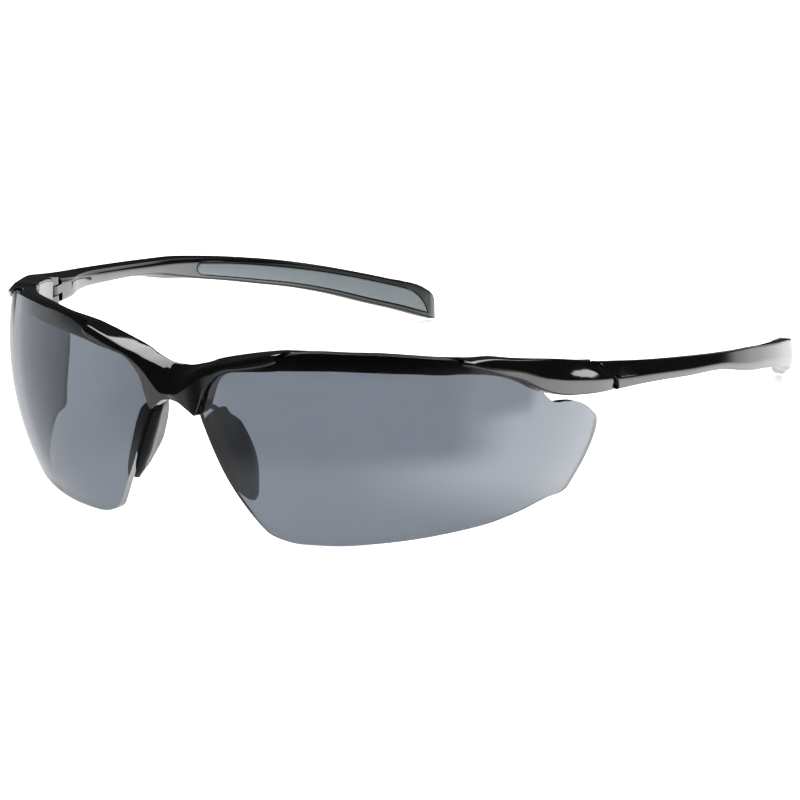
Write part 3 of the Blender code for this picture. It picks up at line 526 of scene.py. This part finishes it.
class Temple:
    """The left temple's outline: places across it, at any y along it."""

    def __init__(self):
        self.table = np.array(TEMPLE_SECTIONS)

    def at(self, y):
        """The values of the sections' table at y."""
        return [float(smooth_curve(self.table[:, 0], self.table[:, k], [y])[0]) for k in range(1, 9)]

    def point(self, y, inward, z):
        """A point at height z, `inward` from the outer face and square to it."""
        x = self.at(y)[0]
        step = 0.1
        slope = (self.at(y + step)[0] - self.at(y - step)[0]) / (2 * step)
        size = math.hypot(1.0, slope)
        return (x - inward / size, y + inward * slope / size, z)

    def inner_y(self, y, inward):
        """The y that a point `inward` from the outer face at y has."""
        return self.point(y, inward, 0.0)[1]

    def ring(self, y):
        """The outline of the section square to the outer face at y."""
        _, thick, outer_top, _, outer_low, _, crease, lean = self.at(y)
        behind = self.at(max(self.inner_y(y, thick), self.table[0, 0]))
        inner_top = behind[3]
        inner_low = behind[5]
        outline = rounded([(thick, inner_top), (lean, outer_top), (0.0, crease),
                           (TEMPLE_LOW_LEAN, outer_low), (thick, inner_low)], TEMPLE_CORNER_RADII)
        return [self.point(y, inward, z) for inward, z in outline]

    def grip_span(self, y, grow):
        """The heights of the inlay's lower and upper edges at y."""
        thick = self.at(y)[1]
        behind = self.at(self.inner_y(y, thick))
        share = (y - GRIP_FRONT_Y) / (GRIP_REAR_Y - GRIP_FRONT_Y)
        top_border = np.interp(share, (0, 1), GRIP_TOP_BORDERS)
        bottom_border = np.interp(share, (0, 1), GRIP_BOTTOM_BORDERS)
        top = behind[3] - top_border + grow
        bottom = behind[5] + bottom_border - grow
        front = min(max((y - GRIP_FRONT_Y + grow) / GRIP_ROUND_LENGTH, 0.0), 1.0)
        rear = min(max((GRIP_REAR_Y + grow - y) / GRIP_TAPER_LENGTH, 0.0), 1.0)
        top = bottom + (top - bottom) * math.sqrt(1 - (1 - rear) ** 2)
        middle = (top + bottom) / 2
        half = max((top - bottom) / 2 * math.sqrt(1 - (1 - front) ** 2),
                   GRIP_LEAST_HALF + grow)
        return middle, half

    def grip_mesh(self, name, grow, low, high, crown=0.0, corner=0.0):
        """The inlay, `low` to `high` past the inner face. A crown makes its face bulge and a
        corner rounds the edge round that face. The rings lie closer at both ends."""
        shares = np.concatenate([[0.0, 0.002, 0.006, 0.012, 0.02, 0.03], np.linspace(0.045, 0.9, 60),
                                 [0.92, 0.94, 0.955, 0.97, 0.98, 0.988, 0.994, 0.998, 1.0]])
        span = GRIP_REAR_Y - GRIP_FRONT_Y
        corner_points = 5
        face_points = 7
        rings = []
        for y in GRIP_FRONT_Y - grow + shares * (span + 2 * grow):
            thick = self.at(y)[1]
            middle, half = self.grip_span(y, grow)
            if corner:
                size = min(corner, GRIP_CORNER_SHARE * half)
                face = [(high - size + size * math.sin(a), -half + size - size * math.cos(a))
                        for a in np.linspace(0.0, math.pi / 2, corner_points)]
                inner = np.linspace(-1.0, 1.0, face_points + 2)[1:-1] * (half - size)
                face += [(high + crown * (1 - (v / (half - size)) ** 2), v) for v in inner]
                face += [(across, -up) for across, up in reversed(face[:corner_points])]
                outline = [(low, -half)] + face + [(low, half)]
            else:
                outline = [(low, -half), (high, -half), (high, half), (low, half)]
            rings.append([self.point(y, thick + across, middle + up) for across, up in outline])
        return loft(name, rings)

    def mesh(self):
        """The temple before its hinge and its recess are cut."""
        places = []
        knots = self.table[:, 0]
        for start, end in zip(knots, knots[1:]):
            parts = max(1, round((end - start) / TEMPLE_STEP))
            places += list(np.linspace(start, end, parts, endpoint=False))
        places.append(knots[-1])
        return loft("temple", [self.ring(y) for y in places])


def half_circle(radius, start, end, steps=24):
    """Points round the hinge axis from one direction to another, in degrees from +X."""
    turns = [math.radians(start + (end - start) * k / steps) for k in range(steps + 1)]
    return [(HINGE_X + radius * math.cos(a), HINGE_Y + radius * math.sin(a)) for a in turns]


def upright(u, v, w):
    """Places a prism that stands up on a level outline."""
    return (u, v, w)


def sideways(u, v, w):
    """Places a prism that runs outwards from an outline in the plane of y and z."""
    return (w, u, v)


def split_outline(shift):
    """The split between frame and temple as a smooth line, moved along y."""
    points = np.array(HINGE_SPLIT)[::-1]
    at = np.linspace(points[0, 1], points[-1, 1], 40)
    line = np.interp(at, points[:, 1], points[:, 0])
    curve = smooth_curve(points[:, 1], points[:, 0], at)
    return [(float(y) + shift, float(z)) for y, z in zip((line + curve) / 2, at)][::-1]


def frame_hinge_cutters():
    """What is cut from the frame's end: the skin behind the split, the space behind each ear
    and the slot for the temple's tongue."""
    near_x, far_x = CUT_X
    rear_y = CUT_Y[1]
    skin = split_outline(0.0) + [(rear_y, HINGE_SPLIT[-1][1]), (rear_y, HINGE_SPLIT[0][1])]
    trim_y = HINGE_Y - EAR_LENGTH
    knuckle_x = HINGE_X - KNUCKLE_RADIUS
    ear = ([(near_x, trim_y), (knuckle_x, trim_y)] + half_circle(KNUCKLE_RADIUS, 180.0, 0.0)
           + [(HINGE_WALL_X, HINGE_Y), (HINGE_WALL_X, rear_y), (near_x, rear_y)])
    slot_y = HINGE_Y - KNUCKLE_RADIUS - EAR_GAP
    slot = [(near_x, trim_y), (knuckle_x, trim_y), (knuckle_x, slot_y), (HINGE_WALL_X, slot_y),
            (HINGE_WALL_X, rear_y), (near_x, rear_y)]
    low = TONGUE_LOW - EAR_GAP
    high = TONGUE_HIGH + EAR_GAP
    return [prism("cut_skin", skin, HINGE_WALL_X, far_x, sideways),
            prism("cut_ear_low", ear, CUT_Z[0], low, upright),
            prism("cut_slot", slot, low, high, upright),
            prism("cut_ear_high", ear, high, CUT_Z[1], upright)]


def temple_hinge_cutters():
    """What is cut from the temple's root: the skin ahead of the split and all round the tongue."""
    near_x, far_x = CUT_X
    front_y = CUT_Y[0]
    skin = (split_outline(SPLIT_GAP)
            + [(front_y, HINGE_SPLIT[-1][1]), (front_y, HINGE_SPLIT[0][1])])
    wall = HINGE_WALL_X - HINGE_WALL_GAP
    ear_y = HINGE_Y + KNUCKLE_RADIUS + EAR_REAR_GAP
    ear = [(near_x, front_y), (wall, front_y), (wall, ear_y), (near_x, ear_y)]
    front = ([(near_x, front_y), (wall, front_y), (wall, HINGE_Y)]
             + half_circle(KNUCKLE_RADIUS, 0.0, -180.0) + [(near_x, HINGE_Y)])
    return [prism("cut_skin", skin, wall, far_x, sideways),
            prism("cut_below", ear, CUT_Z[0], TONGUE_LOW, upright),
            prism("cut_ahead", front, TONGUE_LOW, TONGUE_HIGH, upright),
            prism("cut_above", ear, TONGUE_HIGH, CUT_Z[1], upright)]


def split_edged(mesh, shift):
    """The mesh with a small bevel where its outer skin ends at the split."""
    tolerance = 0.02
    line = np.array(split_outline(shift))[::-1]
    shape = bmesh.new()
    shape.from_mesh(mesh)

    def on_split(vertex):
        x, y, z = (v / MM for v in vertex.co)
        return (abs(x) > HINGE_WALL_X + tolerance and line[0, 1] < z < line[-1, 1]
                and abs(y - np.interp(z, line[:, 1], line[:, 0])) < tolerance)

    edges = [edge for edge in shape.edges if all(on_split(v) for v in edge.verts)
             and len(edge.link_faces) == 2 and edge.calc_face_angle() > math.radians(35)]
    bmesh.ops.bevel(shape, geom=edges, offset=SPLIT_BEVEL * MM, segments=2, profile=0.5,
                    affect="EDGES", clamp_overlap=True)
    shape.to_mesh(mesh)
    shape.free()
    return mesh


def turned(name, profile, x, y, steps=48):
    """A solid turned about an upright axis. The profile is (radius, z), from top to bottom, and
    starts and ends on the axis."""
    points = [(x, y, profile[0][1])]
    for radius, z in profile[1:-1]:
        points += [(x + radius * math.cos(2 * math.pi * k / steps),
                    y + radius * math.sin(2 * math.pi * k / steps), z) for k in range(steps)]
    points.append((x, y, profile[-1][1]))
    faces = []
    rows = len(profile) - 2
    for k in range(steps):
        after = (k + 1) % steps
        faces.append((0, 1 + k, 1 + after))
        for r in range(rows - 1):
            low, high = 1 + r * steps, 1 + (r + 1) * steps
            faces.append((low + k, high + k, high + after, low + after))
        last = 1 + (rows - 1) * steps
        faces.append((len(points) - 1, last + after, last + k))
    return mesh_from(name, points, faces)


def screw_hole_mesh():
    """The screw's bore, with room for its head, blind in the upper ear."""
    top = SCREW_TOP + SCREW_TIP_GAP
    head = SCREW_HEAD_RADIUS + SCREW_HEAD_GAP
    seat = SCREW_HEAD_TOP + SCREW_SEAT_GAP
    bottom = 25.0
    return turned("cut_screw", [(0.0, top), (SCREW_HOLE_RADIUS, top), (SCREW_HOLE_RADIUS, seat),
                                (head, seat), (head, bottom), (0.0, bottom)], HINGE_X, HINGE_Y)


def screw_mesh():
    """The hinge screw, with its head below and its edges broken."""
    bevel = SCREW_BEVEL
    return turned("hinge_screw", [(0.0, SCREW_TOP), (SCREW_RADIUS - bevel, SCREW_TOP),
                                  (SCREW_RADIUS, SCREW_TOP - bevel),
                                  (SCREW_RADIUS, SCREW_HEAD_TOP),
                                  (SCREW_HEAD_RADIUS, SCREW_HEAD_TOP),
                                  (SCREW_HEAD_RADIUS, SCREW_HEAD_BOTTOM + bevel),
                                  (SCREW_HEAD_RADIUS - bevel / 3, SCREW_HEAD_BOTTOM + bevel / 3),
                                  (SCREW_HEAD_RADIUS - bevel, SCREW_HEAD_BOTTOM),
                                  (0.0, SCREW_HEAD_BOTTOM)], HINGE_X, HINGE_Y)


def screw_slot_mesh():
    """The driver slot across the screw's head."""
    far = DRIVER_SLOT_LENGTH / 2
    half = DRIVER_SLOT_WIDTH / 2
    outline = [(HINGE_X - far, HINGE_Y - half), (HINGE_X + far, HINGE_Y - half),
               (HINGE_X + far, HINGE_Y + half), (HINGE_X - far, HINGE_Y + half)]
    return prism("cut_driver_slot", outline, SCREW_HEAD_BOTTOM - 1.0,
                 SCREW_HEAD_BOTTOM + DRIVER_SLOT_DEPTH, upright)


def wire_mesh(name, radius, extra=0.0, stations=48, sides=20):
    """The wire along its route, `extra` longer at its lower end."""
    route = np.array(WIRE_ROUTE)
    end = route[-1] - route[-2]
    route = np.vstack([route, route[-1] + end / np.linalg.norm(end) * extra]) if extra else route
    length = np.concatenate([[0.0], np.cumsum(np.linalg.norm(np.diff(route, axis=0), axis=1))])
    at = np.linspace(0.0, length[-1], stations)
    points = np.stack([smooth_curve(length, route[:, k], at) for k in range(3)], axis=1)
    ways = np.gradient(points, axis=0)
    ways /= np.linalg.norm(ways, axis=1)[:, None]
    side = np.cross(ways, (0.0, 1.0, 0.0))
    side /= np.linalg.norm(side, axis=1)[:, None]
    up = np.cross(side, ways)
    turns = np.linspace(0.0, 2 * math.pi, sides, endpoint=False)
    rings = [[tuple(p + radius * (math.cos(a) * s + math.sin(a) * u)) for a in turns]
             for p, s, u in zip(points, side, up)]
    return loft(name, rings)


def pad_mesh():
    """The left nose pad: a leaning wedge, rounded at its edges and ends."""
    heights = [-section[0] for section in PAD_SECTIONS]
    at = []
    for a, b in zip(heights, heights[1:]):
        at += list(np.linspace(a, b, PAD_PARTS, endpoint=False))
    at = np.array(at + [heights[-1]])
    corners = [np.stack([smooth_curve(heights, [s[k][0] for s in PAD_SECTIONS], at),
                         smooth_curve(heights, [s[k][1] for s in PAD_SECTIONS], at)], axis=1)
               for k in range(1, 5)]
    rings = [[(x, y, -z) for x, y in rounded([c[r] for c in corners], PAD_CORNER_RADII, 6)]
             for r, z in enumerate(at)]
    return loft("nose_pad", rings)


# ---------------------------------------------------------------- materials


class Nodes:
    """A node tree, with a short way to add and link nodes."""

    def __init__(self, tree):
        self.tree = tree

    def add(self, kind, **settings):
        node = self.tree.nodes.new(kind)
        for key, value in settings.items():
            setattr(node, key, value)
        return node

    def link(self, source, target):
        self.tree.links.new(source, target)

    def noise(self, scale, detail=2.0, distortion=0.0, stretch=None):
        """Noise over the piece, finer with scale. A stretch squeezes it along each axis."""
        source = self.place
        if stretch:
            mapping = self.add("ShaderNodeMapping")
            mapping.inputs["Scale"].default_value = stretch
            self.link(source, mapping.inputs["Vector"])
            source = mapping.outputs["Vector"]
        node = self.add("ShaderNodeTexNoise")
        self.link(source, node.inputs["Vector"])
        node.inputs["Scale"].default_value = scale
        node.inputs["Detail"].default_value = detail
        node.inputs["Distortion"].default_value = distortion
        return node.outputs["Fac"]

    def spread(self, value, low, high, start=0.3, end=0.7, course="LINEAR"):
        """A value that runs from low to high as the input runs from start to end."""
        node = self.add("ShaderNodeMapRange", clamp=True, interpolation_type=course)
        self.link(value, node.inputs["Value"])
        for key, number in (("From Min", start), ("From Max", end), ("To Min", low),
                            ("To Max", high)):
            node.inputs[key].default_value = number
        return node.outputs["Result"]

    def blend(self, share, first, second):
        """A colour between two colours."""
        node = self.add("ShaderNodeMix", data_type="RGBA")
        self.link(share, node.inputs["Factor"])
        for slot, colour in ((6, first), (7, second)):
            if isinstance(colour, tuple):
                node.inputs[slot].default_value = (*colour, 1.0)
            else:
                self.link(colour, node.inputs[slot])
        return node.outputs[2]

    def maths(self, operation, first, second):
        node = self.add("ShaderNodeMath", operation=operation)
        for slot, value in enumerate((first, second)):
            if isinstance(value, (int, float)):
                node.inputs[slot].default_value = value
            else:
                self.link(value, node.inputs[slot])
        return node.outputs[0]

    def bump(self, height, distance, under=None):
        """Relief `distance` metres deep, over another relief where there is one."""
        node = self.add("ShaderNodeBump")
        node.inputs["Strength"].default_value = 1.0
        node.inputs["Distance"].default_value = distance
        self.link(height, node.inputs["Height"])
        if under is not None:
            self.link(under, node.inputs["Normal"])
        return node.outputs["Normal"]


class Finish(Nodes):
    """A material with one main shader."""

    def __init__(self, name):
        self.material = bpy.data.materials.new(name)
        self.material.use_nodes = True
        super().__init__(self.material.node_tree)
        self.shader = self.tree.nodes["Principled BSDF"]
        self.output = self.tree.nodes["Material Output"]
        self.place = self.add("ShaderNodeTexCoord").outputs["Object"]

    def set(self, **values):
        """Fixed values for the shader's inputs."""
        for key, value in values.items():
            self.shader.inputs[key.replace("_", " ")].default_value = value

    def into(self, **sources):
        """Nodes that feed the shader's inputs."""
        for key, source in sources.items():
            self.link(source, self.shader.inputs[key.replace("_", " ")])


def black_plastic():
    """Gloss-moulded black nylon: a near-mirror skin, faint flow marks, finger smudges and
    edges rubbed a little duller."""
    m = Finish("gloss_black_plastic")
    smudge = m.noise(70.0, 4.0, 0.8)
    grain = m.noise(2600.0, 2.0)
    flow = m.noise(140.0, 2.0, 0.3, (1.0, 0.35, 1.0))
    edge = m.add("ShaderNodeNewGeometry").outputs["Pointiness"]
    worn = m.spread(edge, 0.0, 1.0, 0.53, 0.62)
    rough = m.maths("ADD", m.spread(smudge, 0.022, 0.055), m.maths("MULTIPLY", worn, 0.06))
    m.into(Roughness=m.maths("ADD", rough, m.spread(grain, 0.0, 0.02)))
    dust = m.spread(m.noise(900.0, 3.0), 0.0, 1.0, 0.62, 0.78)
    base = m.blend(smudge, (0.0016, 0.0016, 0.0018), (0.0028, 0.0028, 0.0030))
    m.into(Base_Color=m.blend(m.maths("MULTIPLY", dust, 0.5), base, (0.008, 0.008, 0.0085)))
    m.into(Normal=m.bump(grain, 0.0000012, m.bump(flow, 0.000012)))
    m.set(IOR=1.53)
    return m.material


def smoke_lens():
    """Grey-tinted hard-coated polycarbonate. Lamps shine through it with the same tint."""
    m = Finish("smoke_polycarbonate")
    smear = m.noise(45.0, 4.0, 1.2)
    tint = m.blend(smear, (0.100, 0.113, 0.134), (0.105, 0.118, 0.140))
    m.into(Base_Color=tint, Roughness=m.spread(smear, 0.0, 0.012, 0.45, 0.75))
    m.into(Normal=m.bump(m.noise(30.0, 1.0), 0.000004))
    m.set(IOR=1.52, Transmission_Weight=1.0)
    lamp = m.add("ShaderNodeBsdfTransparent")
    lamp.inputs["Color"].default_value = (0.62, 0.64, 0.67, 1.0)
    ray = m.add("ShaderNodeLightPath")
    mix = m.add("ShaderNodeMixShader")
    m.link(ray.outputs["Is Shadow Ray"], mix.inputs[0])
    m.link(m.shader.outputs[0], mix.inputs[1])
    m.link(lamp.outputs[0], mix.inputs[2])
    m.link(mix.outputs[0], m.output.inputs["Surface"])
    return m.material


def lens_rim():
    """The trimmed edge of a smoke lens, dark because light comes to it along the lens."""
    m = Finish("smoke_lens_rim")
    marks = m.noise(900.0, 3.0)
    m.into(Base_Color=m.blend(marks, (0.020, 0.022, 0.026), (0.045, 0.049, 0.057)))
    m.into(Roughness=m.spread(marks, 0.22, 0.40), Normal=m.bump(marks, 0.000006))
    m.set(IOR=1.52)
    return m.material


def rubber(name, dark, light, rough, grain_depth):
    """Moulded elastomer: fine spark-eroded grain, soft mottling and painted shade that darkens the
    colour in the small pits.
    """
    m = Finish(name)
    mottle = m.noise(160.0, 4.0, 0.4)
    grain = m.noise(5200.0, 3.0)
    pores = m.add("ShaderNodeTexVoronoi")
    m.link(m.place, pores.inputs["Vector"])
    pores.inputs["Scale"].default_value = 3400.0
    pits_and_shade = m.spread(pores.outputs["Distance"], 1.0, 0.0, 0.05, 0.3)
    base = m.blend(m.spread(mottle, 0.0, 1.0), dark, light)
    # painted shade: the colour is pulled towards the dark tone in the small pits of the grain
    m.into(Base_Color=m.blend(m.maths("MULTIPLY", pits_and_shade, 0.25), base, dark))
    m.into(Roughness=m.spread(mottle, rough[0], rough[1]))
    height = m.maths("SUBTRACT", grain, m.maths("MULTIPLY", pits_and_shade, 0.4))
    m.into(Normal=m.bump(height, grain_depth))
    m.set(IOR=1.5)
    return m.material


def steel():
    """Turned stainless steel with fine drawing lines."""
    m = Finish("stainless_steel")
    lines = m.noise(2500.0, 3.0, 0.0, (1.0, 1.0, 6.0))
    stain = m.noise(350.0, 4.0)
    m.into(Base_Color=m.blend(stain, (0.46, 0.46, 0.47), (0.60, 0.60, 0.61)))
    m.into(Roughness=m.spread(lines, 0.16, 0.34))
    m.into(Normal=m.bump(lines, 0.000004))
    m.set(Metallic=1.0)
    return m.material


# ---------------------------------------------------------------- pieces


def put(name, mesh, body, slot, look, bevel=0.0, sharp=32.0, rim=None):
    """A shown piece in place of the CAD node of the same name, centred on that node. A rim is
    the material of its bevelled edges."""
    low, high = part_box(name)
    places = np.array([v.co for v in mesh.vertices])
    middle = (places.min(0) + places.max(0)) / 2
    mesh.transform(Matrix.Translation((low + high) / 2 - Vector(middle)))
    piece = bpy.data.objects.new(name + "_look", mesh)
    bpy.context.scene.collection.objects.link(piece)
    mesh.materials.clear()
    mesh.materials.append(look)
    mesh.shade_smooth()
    mesh.set_sharp_from_angle(angle=math.radians(sharp))
    if bevel:
        edge = piece.modifiers.new("edge", "BEVEL")
        edge.width = bevel * MM
        edge.segments = 3
        edge.limit_method = "ANGLE"
        edge.angle_limit = math.radians(50)
        if rim:
            mesh.materials.append(rim)
            edge.material = 1
    weigh = piece.modifiers.new("weigh", "WEIGHTED_NORMAL")
    weigh.keep_sharp = True
    weigh.weight = 80
    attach(piece, body)
    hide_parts(name)


def pair(name, left_mesh, bodies, slot, look, **finish):
    """The left piece and its mirror image."""
    right_mesh = mirrored(left_mesh, f"{name}_right")
    put(f"{name}_left", left_mesh, bodies[0], slot, look, **finish)
    put(f"{name}_right", right_mesh, bodies[1], slot, look, **finish)


def build_pieces():
    """Every shown piece. The screw's bore runs through the front and the temples alike."""
    temple = Temple()
    plastic, lens_look, metal = black_plastic(), smoke_lens(), steel()
    soft_black = rubber("black_elastomer", (0.010, 0.010, 0.011), (0.019, 0.019, 0.020),
                        (0.42, 0.60), 0.000012)
    soft_grey = rubber("grey_elastomer", (0.172, 0.201, 0.216), (0.208, 0.237, 0.253),
                       (0.45, 0.62), 0.000010)
    hinge_hole = screw_hole_mesh()
    wire_hole = wire_mesh("cut_wire", WIRE_HOLE_RADIUS, WIRE_HOLE_EXTRA)

    half = frame_mesh()
    whole = cleaned(joined("frame_front", [half, mirrored(half, "frame_other_half")]))
    pocket = lens_mesh("cut_lens", 2 * SLOT_GAP, -SLOT_GAP, LENS_THICKNESS + SLOT_GAP)
    cutters = [joined(c.name + "_both", [c, mirrored(c, c.name + "_right")])
               for c in [pocket, *frame_hinge_cutters(), hinge_hole, wire_hole]]
    front = split_edged(cut("frame_front", whole, cutters), 0.0)
    put("frame_front", front, "front", "black_plastic", plastic)

    fixed = ("front", "front")
    folding = ("temple_left", "temple_right")
    pair("lens", lens_mesh("lens", 0.0, 0.0, LENS_THICKNESS), fixed, "smoke_lens", lens_look,
         bevel=LENS_EDGE_BEVEL, sharp=40.0, rim=lens_rim())
    pair("nose_pad", cut("nose_pad", pad_mesh(), [wire_hole.copy()]), fixed, "black_rubber",
         soft_black)
    pair("nose_pad_wire", wire_mesh("nose_pad_wire", WIRE_RADIUS), fixed, "steel", metal)
    recess = temple.grip_mesh("cut_grip", INLAY_GAP, -GRIP_DEPTH - INLAY_GAP, GRIP_CUT_REACH)
    arm = cut("temple", temple.mesh(), [*temple_hinge_cutters(), hinge_hole.copy(), recess])
    pair("temple", split_edged(arm, SPLIT_GAP), folding, "black_plastic", plastic)
    grip = temple.grip_mesh("temple_grip", 0.0, -GRIP_DEPTH, GRIP_PROUD - GRIP_CROWN, GRIP_CROWN,
                            GRIP_CORNER)
    pair("temple_grip", grip, folding, "grey_rubber", soft_grey)
    pair("hinge_screw", cut("hinge_screw", screw_mesh(), [screw_slot_mesh()]), fixed,
         "steel", metal)


# ---------------------------------------------------------------- studio


def make_floor():
    """A pale floor that glows a little, so that no shadow shows on it."""
    m = Finish("pale_floor")
    m.into(Base_Color=m.blend(m.noise(3.0, 3.0), (0.86, 0.86, 0.86), (0.88, 0.88, 0.88)))
    m.into(Roughness=m.spread(m.noise(40.0, 3.0), 0.55, 0.65))
    m.set(Specular_IOR_Level=0.2, Emission_Color=(1.0, 1.0, 1.0, 1.0),
          Emission_Strength=FLOOR_GLOW)
    mesh = bpy.data.meshes.new("floor")
    size = FLOOR_HALF_SIZE
    mesh.from_pydata([(-size, -size, 0.0), (size, -size, 0.0), (size, size, 0.0),
                      (-size, size, 0.0)], [], [(0, 1, 2, 3)])
    mesh.materials.append(m.material)
    floor = bpy.data.objects.new("floor", mesh)
    floor.location.z = CAD_BOX[0].z - FLOOR_DROP
    bpy.context.scene.collection.objects.link(floor)
    floor.visible_glossy = False


def toward(turn, rise, reach):
    """A point `reach` metres from the glasses. A turn of 0 is towards +Y and 90 towards +X."""
    turn, rise = math.radians(turn), math.radians(rise)
    return Vector((math.sin(turn) * math.cos(rise), math.cos(turn) * math.cos(rise),
                   math.sin(rise))) * reach


def lamp(name, place, size, brightness):
    """A soft panel at `place` that faces the glasses and shows in no reflection."""
    light = bpy.data.lights.new(name, "AREA")
    light.shape = "RECTANGLE"
    light.size, light.size_y = size
    light.energy = brightness * math.pi * size[0] * size[1]
    made = bpy.data.objects.new(name, light)
    made.location = place
    made.rotation_euler = (-Vector(place)).to_track_quat("-Z", "Y").to_euler()
    made.visible_glossy = False
    made.visible_camera = False
    bpy.context.scene.collection.objects.link(made)


def glow_card(name, outline, brightness):
    """A lit card, given by the directions of its corners, that only shows in reflections."""
    mesh = bpy.data.meshes.new(name)
    mesh.from_pydata([toward(turn, rise, GLINT_DISTANCE) for turn, rise in outline], [],
                     [tuple(range(len(outline)))])
    m = Finish(name)
    glow = m.add("ShaderNodeEmission")
    glow.inputs["Strength"].default_value = brightness
    m.link(glow.outputs[0], m.output.inputs["Surface"])
    mesh.materials.append(m.material)
    made = bpy.data.objects.new(name, mesh)
    bpy.context.scene.collection.objects.link(made)
    for kind in ("camera", "diffuse", "transmission", "volume_scatter", "shadow"):
        setattr(made, "visible_" + kind, False)


def make_world():
    """The studio all round: soft-edged panels and flags by direction, each laid over the last."""
    world = bpy.data.worlds.new("studio")
    bpy.context.scene.world = world
    world.use_nodes = True
    w = Nodes(world.node_tree)
    way = w.add("ShaderNodeTexCoord").outputs["Generated"]
    strength = None
    for turn, rise, half_turn, half_rise, soft_turn, soft_rise, brightness in STUDIO:
        mapping = w.add("ShaderNodeMapping")
        mapping.inputs["Rotation"].default_value = (0.0, 0.0, math.radians(turn))
        w.link(way, mapping.inputs["Vector"])
        parts = w.add("ShaderNodeSeparateXYZ")
        w.link(mapping.outputs["Vector"], parts.inputs["Vector"])
        sideways_angle = w.maths("ARCTAN2", parts.outputs[0], parts.outputs[1])
        upward_angle = w.maths("SUBTRACT", w.maths("ARCSINE", parts.outputs[2], 0.0),
                               math.radians(rise))
        share = None
        for angle, half, soft in ((sideways_angle, half_turn, soft_turn),
                                  (upward_angle, half_rise, soft_rise)):
            inside = w.spread(w.maths("ABSOLUTE", angle, 0.0), 1.0, 0.0,
                              math.radians(half - soft / 2), math.radians(half + soft / 2),
                              "SMOOTHSTEP")
            share = inside if share is None else w.maths("MULTIPLY", share, inside)
        if strength is None:
            strength = w.maths("MULTIPLY", share, brightness)
            strength = w.maths("ADD", strength, DARK_STUDIO)
            continue
        mix = w.add("ShaderNodeMix", data_type="FLOAT")
        w.link(share, mix.inputs[0])
        w.link(strength, mix.inputs[2])
        mix.inputs[3].default_value = brightness
        strength = mix.outputs[0]
    back = world.node_tree.nodes["Background"]
    back.inputs["Color"].default_value = (0.98, 0.99, 1.0, 1.0)
    w.link(strength, back.inputs["Strength"])


def make_light():
    """The studio, one panel above and the card behind the glint on the left outer leaf."""
    make_world()
    lamp("overhead", OVERHEAD_PLACE, OVERHEAD_SIZE, OVERHEAD_BRIGHTNESS)
    glow_card("glint_card", GLINT, GLINT_BRIGHTNESS)


def make_camera():
    """A long lens at CAMERA_PLACE, turned by CAMERA_TURNS."""
    data = bpy.data.cameras.new("camera")
    data.sensor_width = 36.0
    data.lens = CAMERA_LENS
    data.clip_start, data.clip_end = 0.05, 40.0
    turn, rise, roll = (math.radians(a) for a in CAMERA_TURNS)
    ahead = Vector((-math.sin(turn) * math.cos(rise), math.cos(turn) * math.cos(rise),
                    -math.sin(rise)))
    level = Vector((math.cos(turn), math.sin(turn), 0.0))
    up = level.cross(ahead)
    across = level * math.cos(roll) + up * math.sin(roll)
    above = up * math.cos(roll) - level * math.sin(roll)
    camera = bpy.data.objects.new("camera", data)
    place = Matrix((across, above, -ahead)).transposed().to_4x4()
    place.translation = Vector(CAMERA_PLACE) * MM
    camera.matrix_world = place
    bpy.context.scene.collection.objects.link(camera)
    bpy.context.scene.camera = camera


make_camera()
make_floor()
make_light()
build_pieces()
bpy.context.scene.view_settings.view_transform = "Standard"
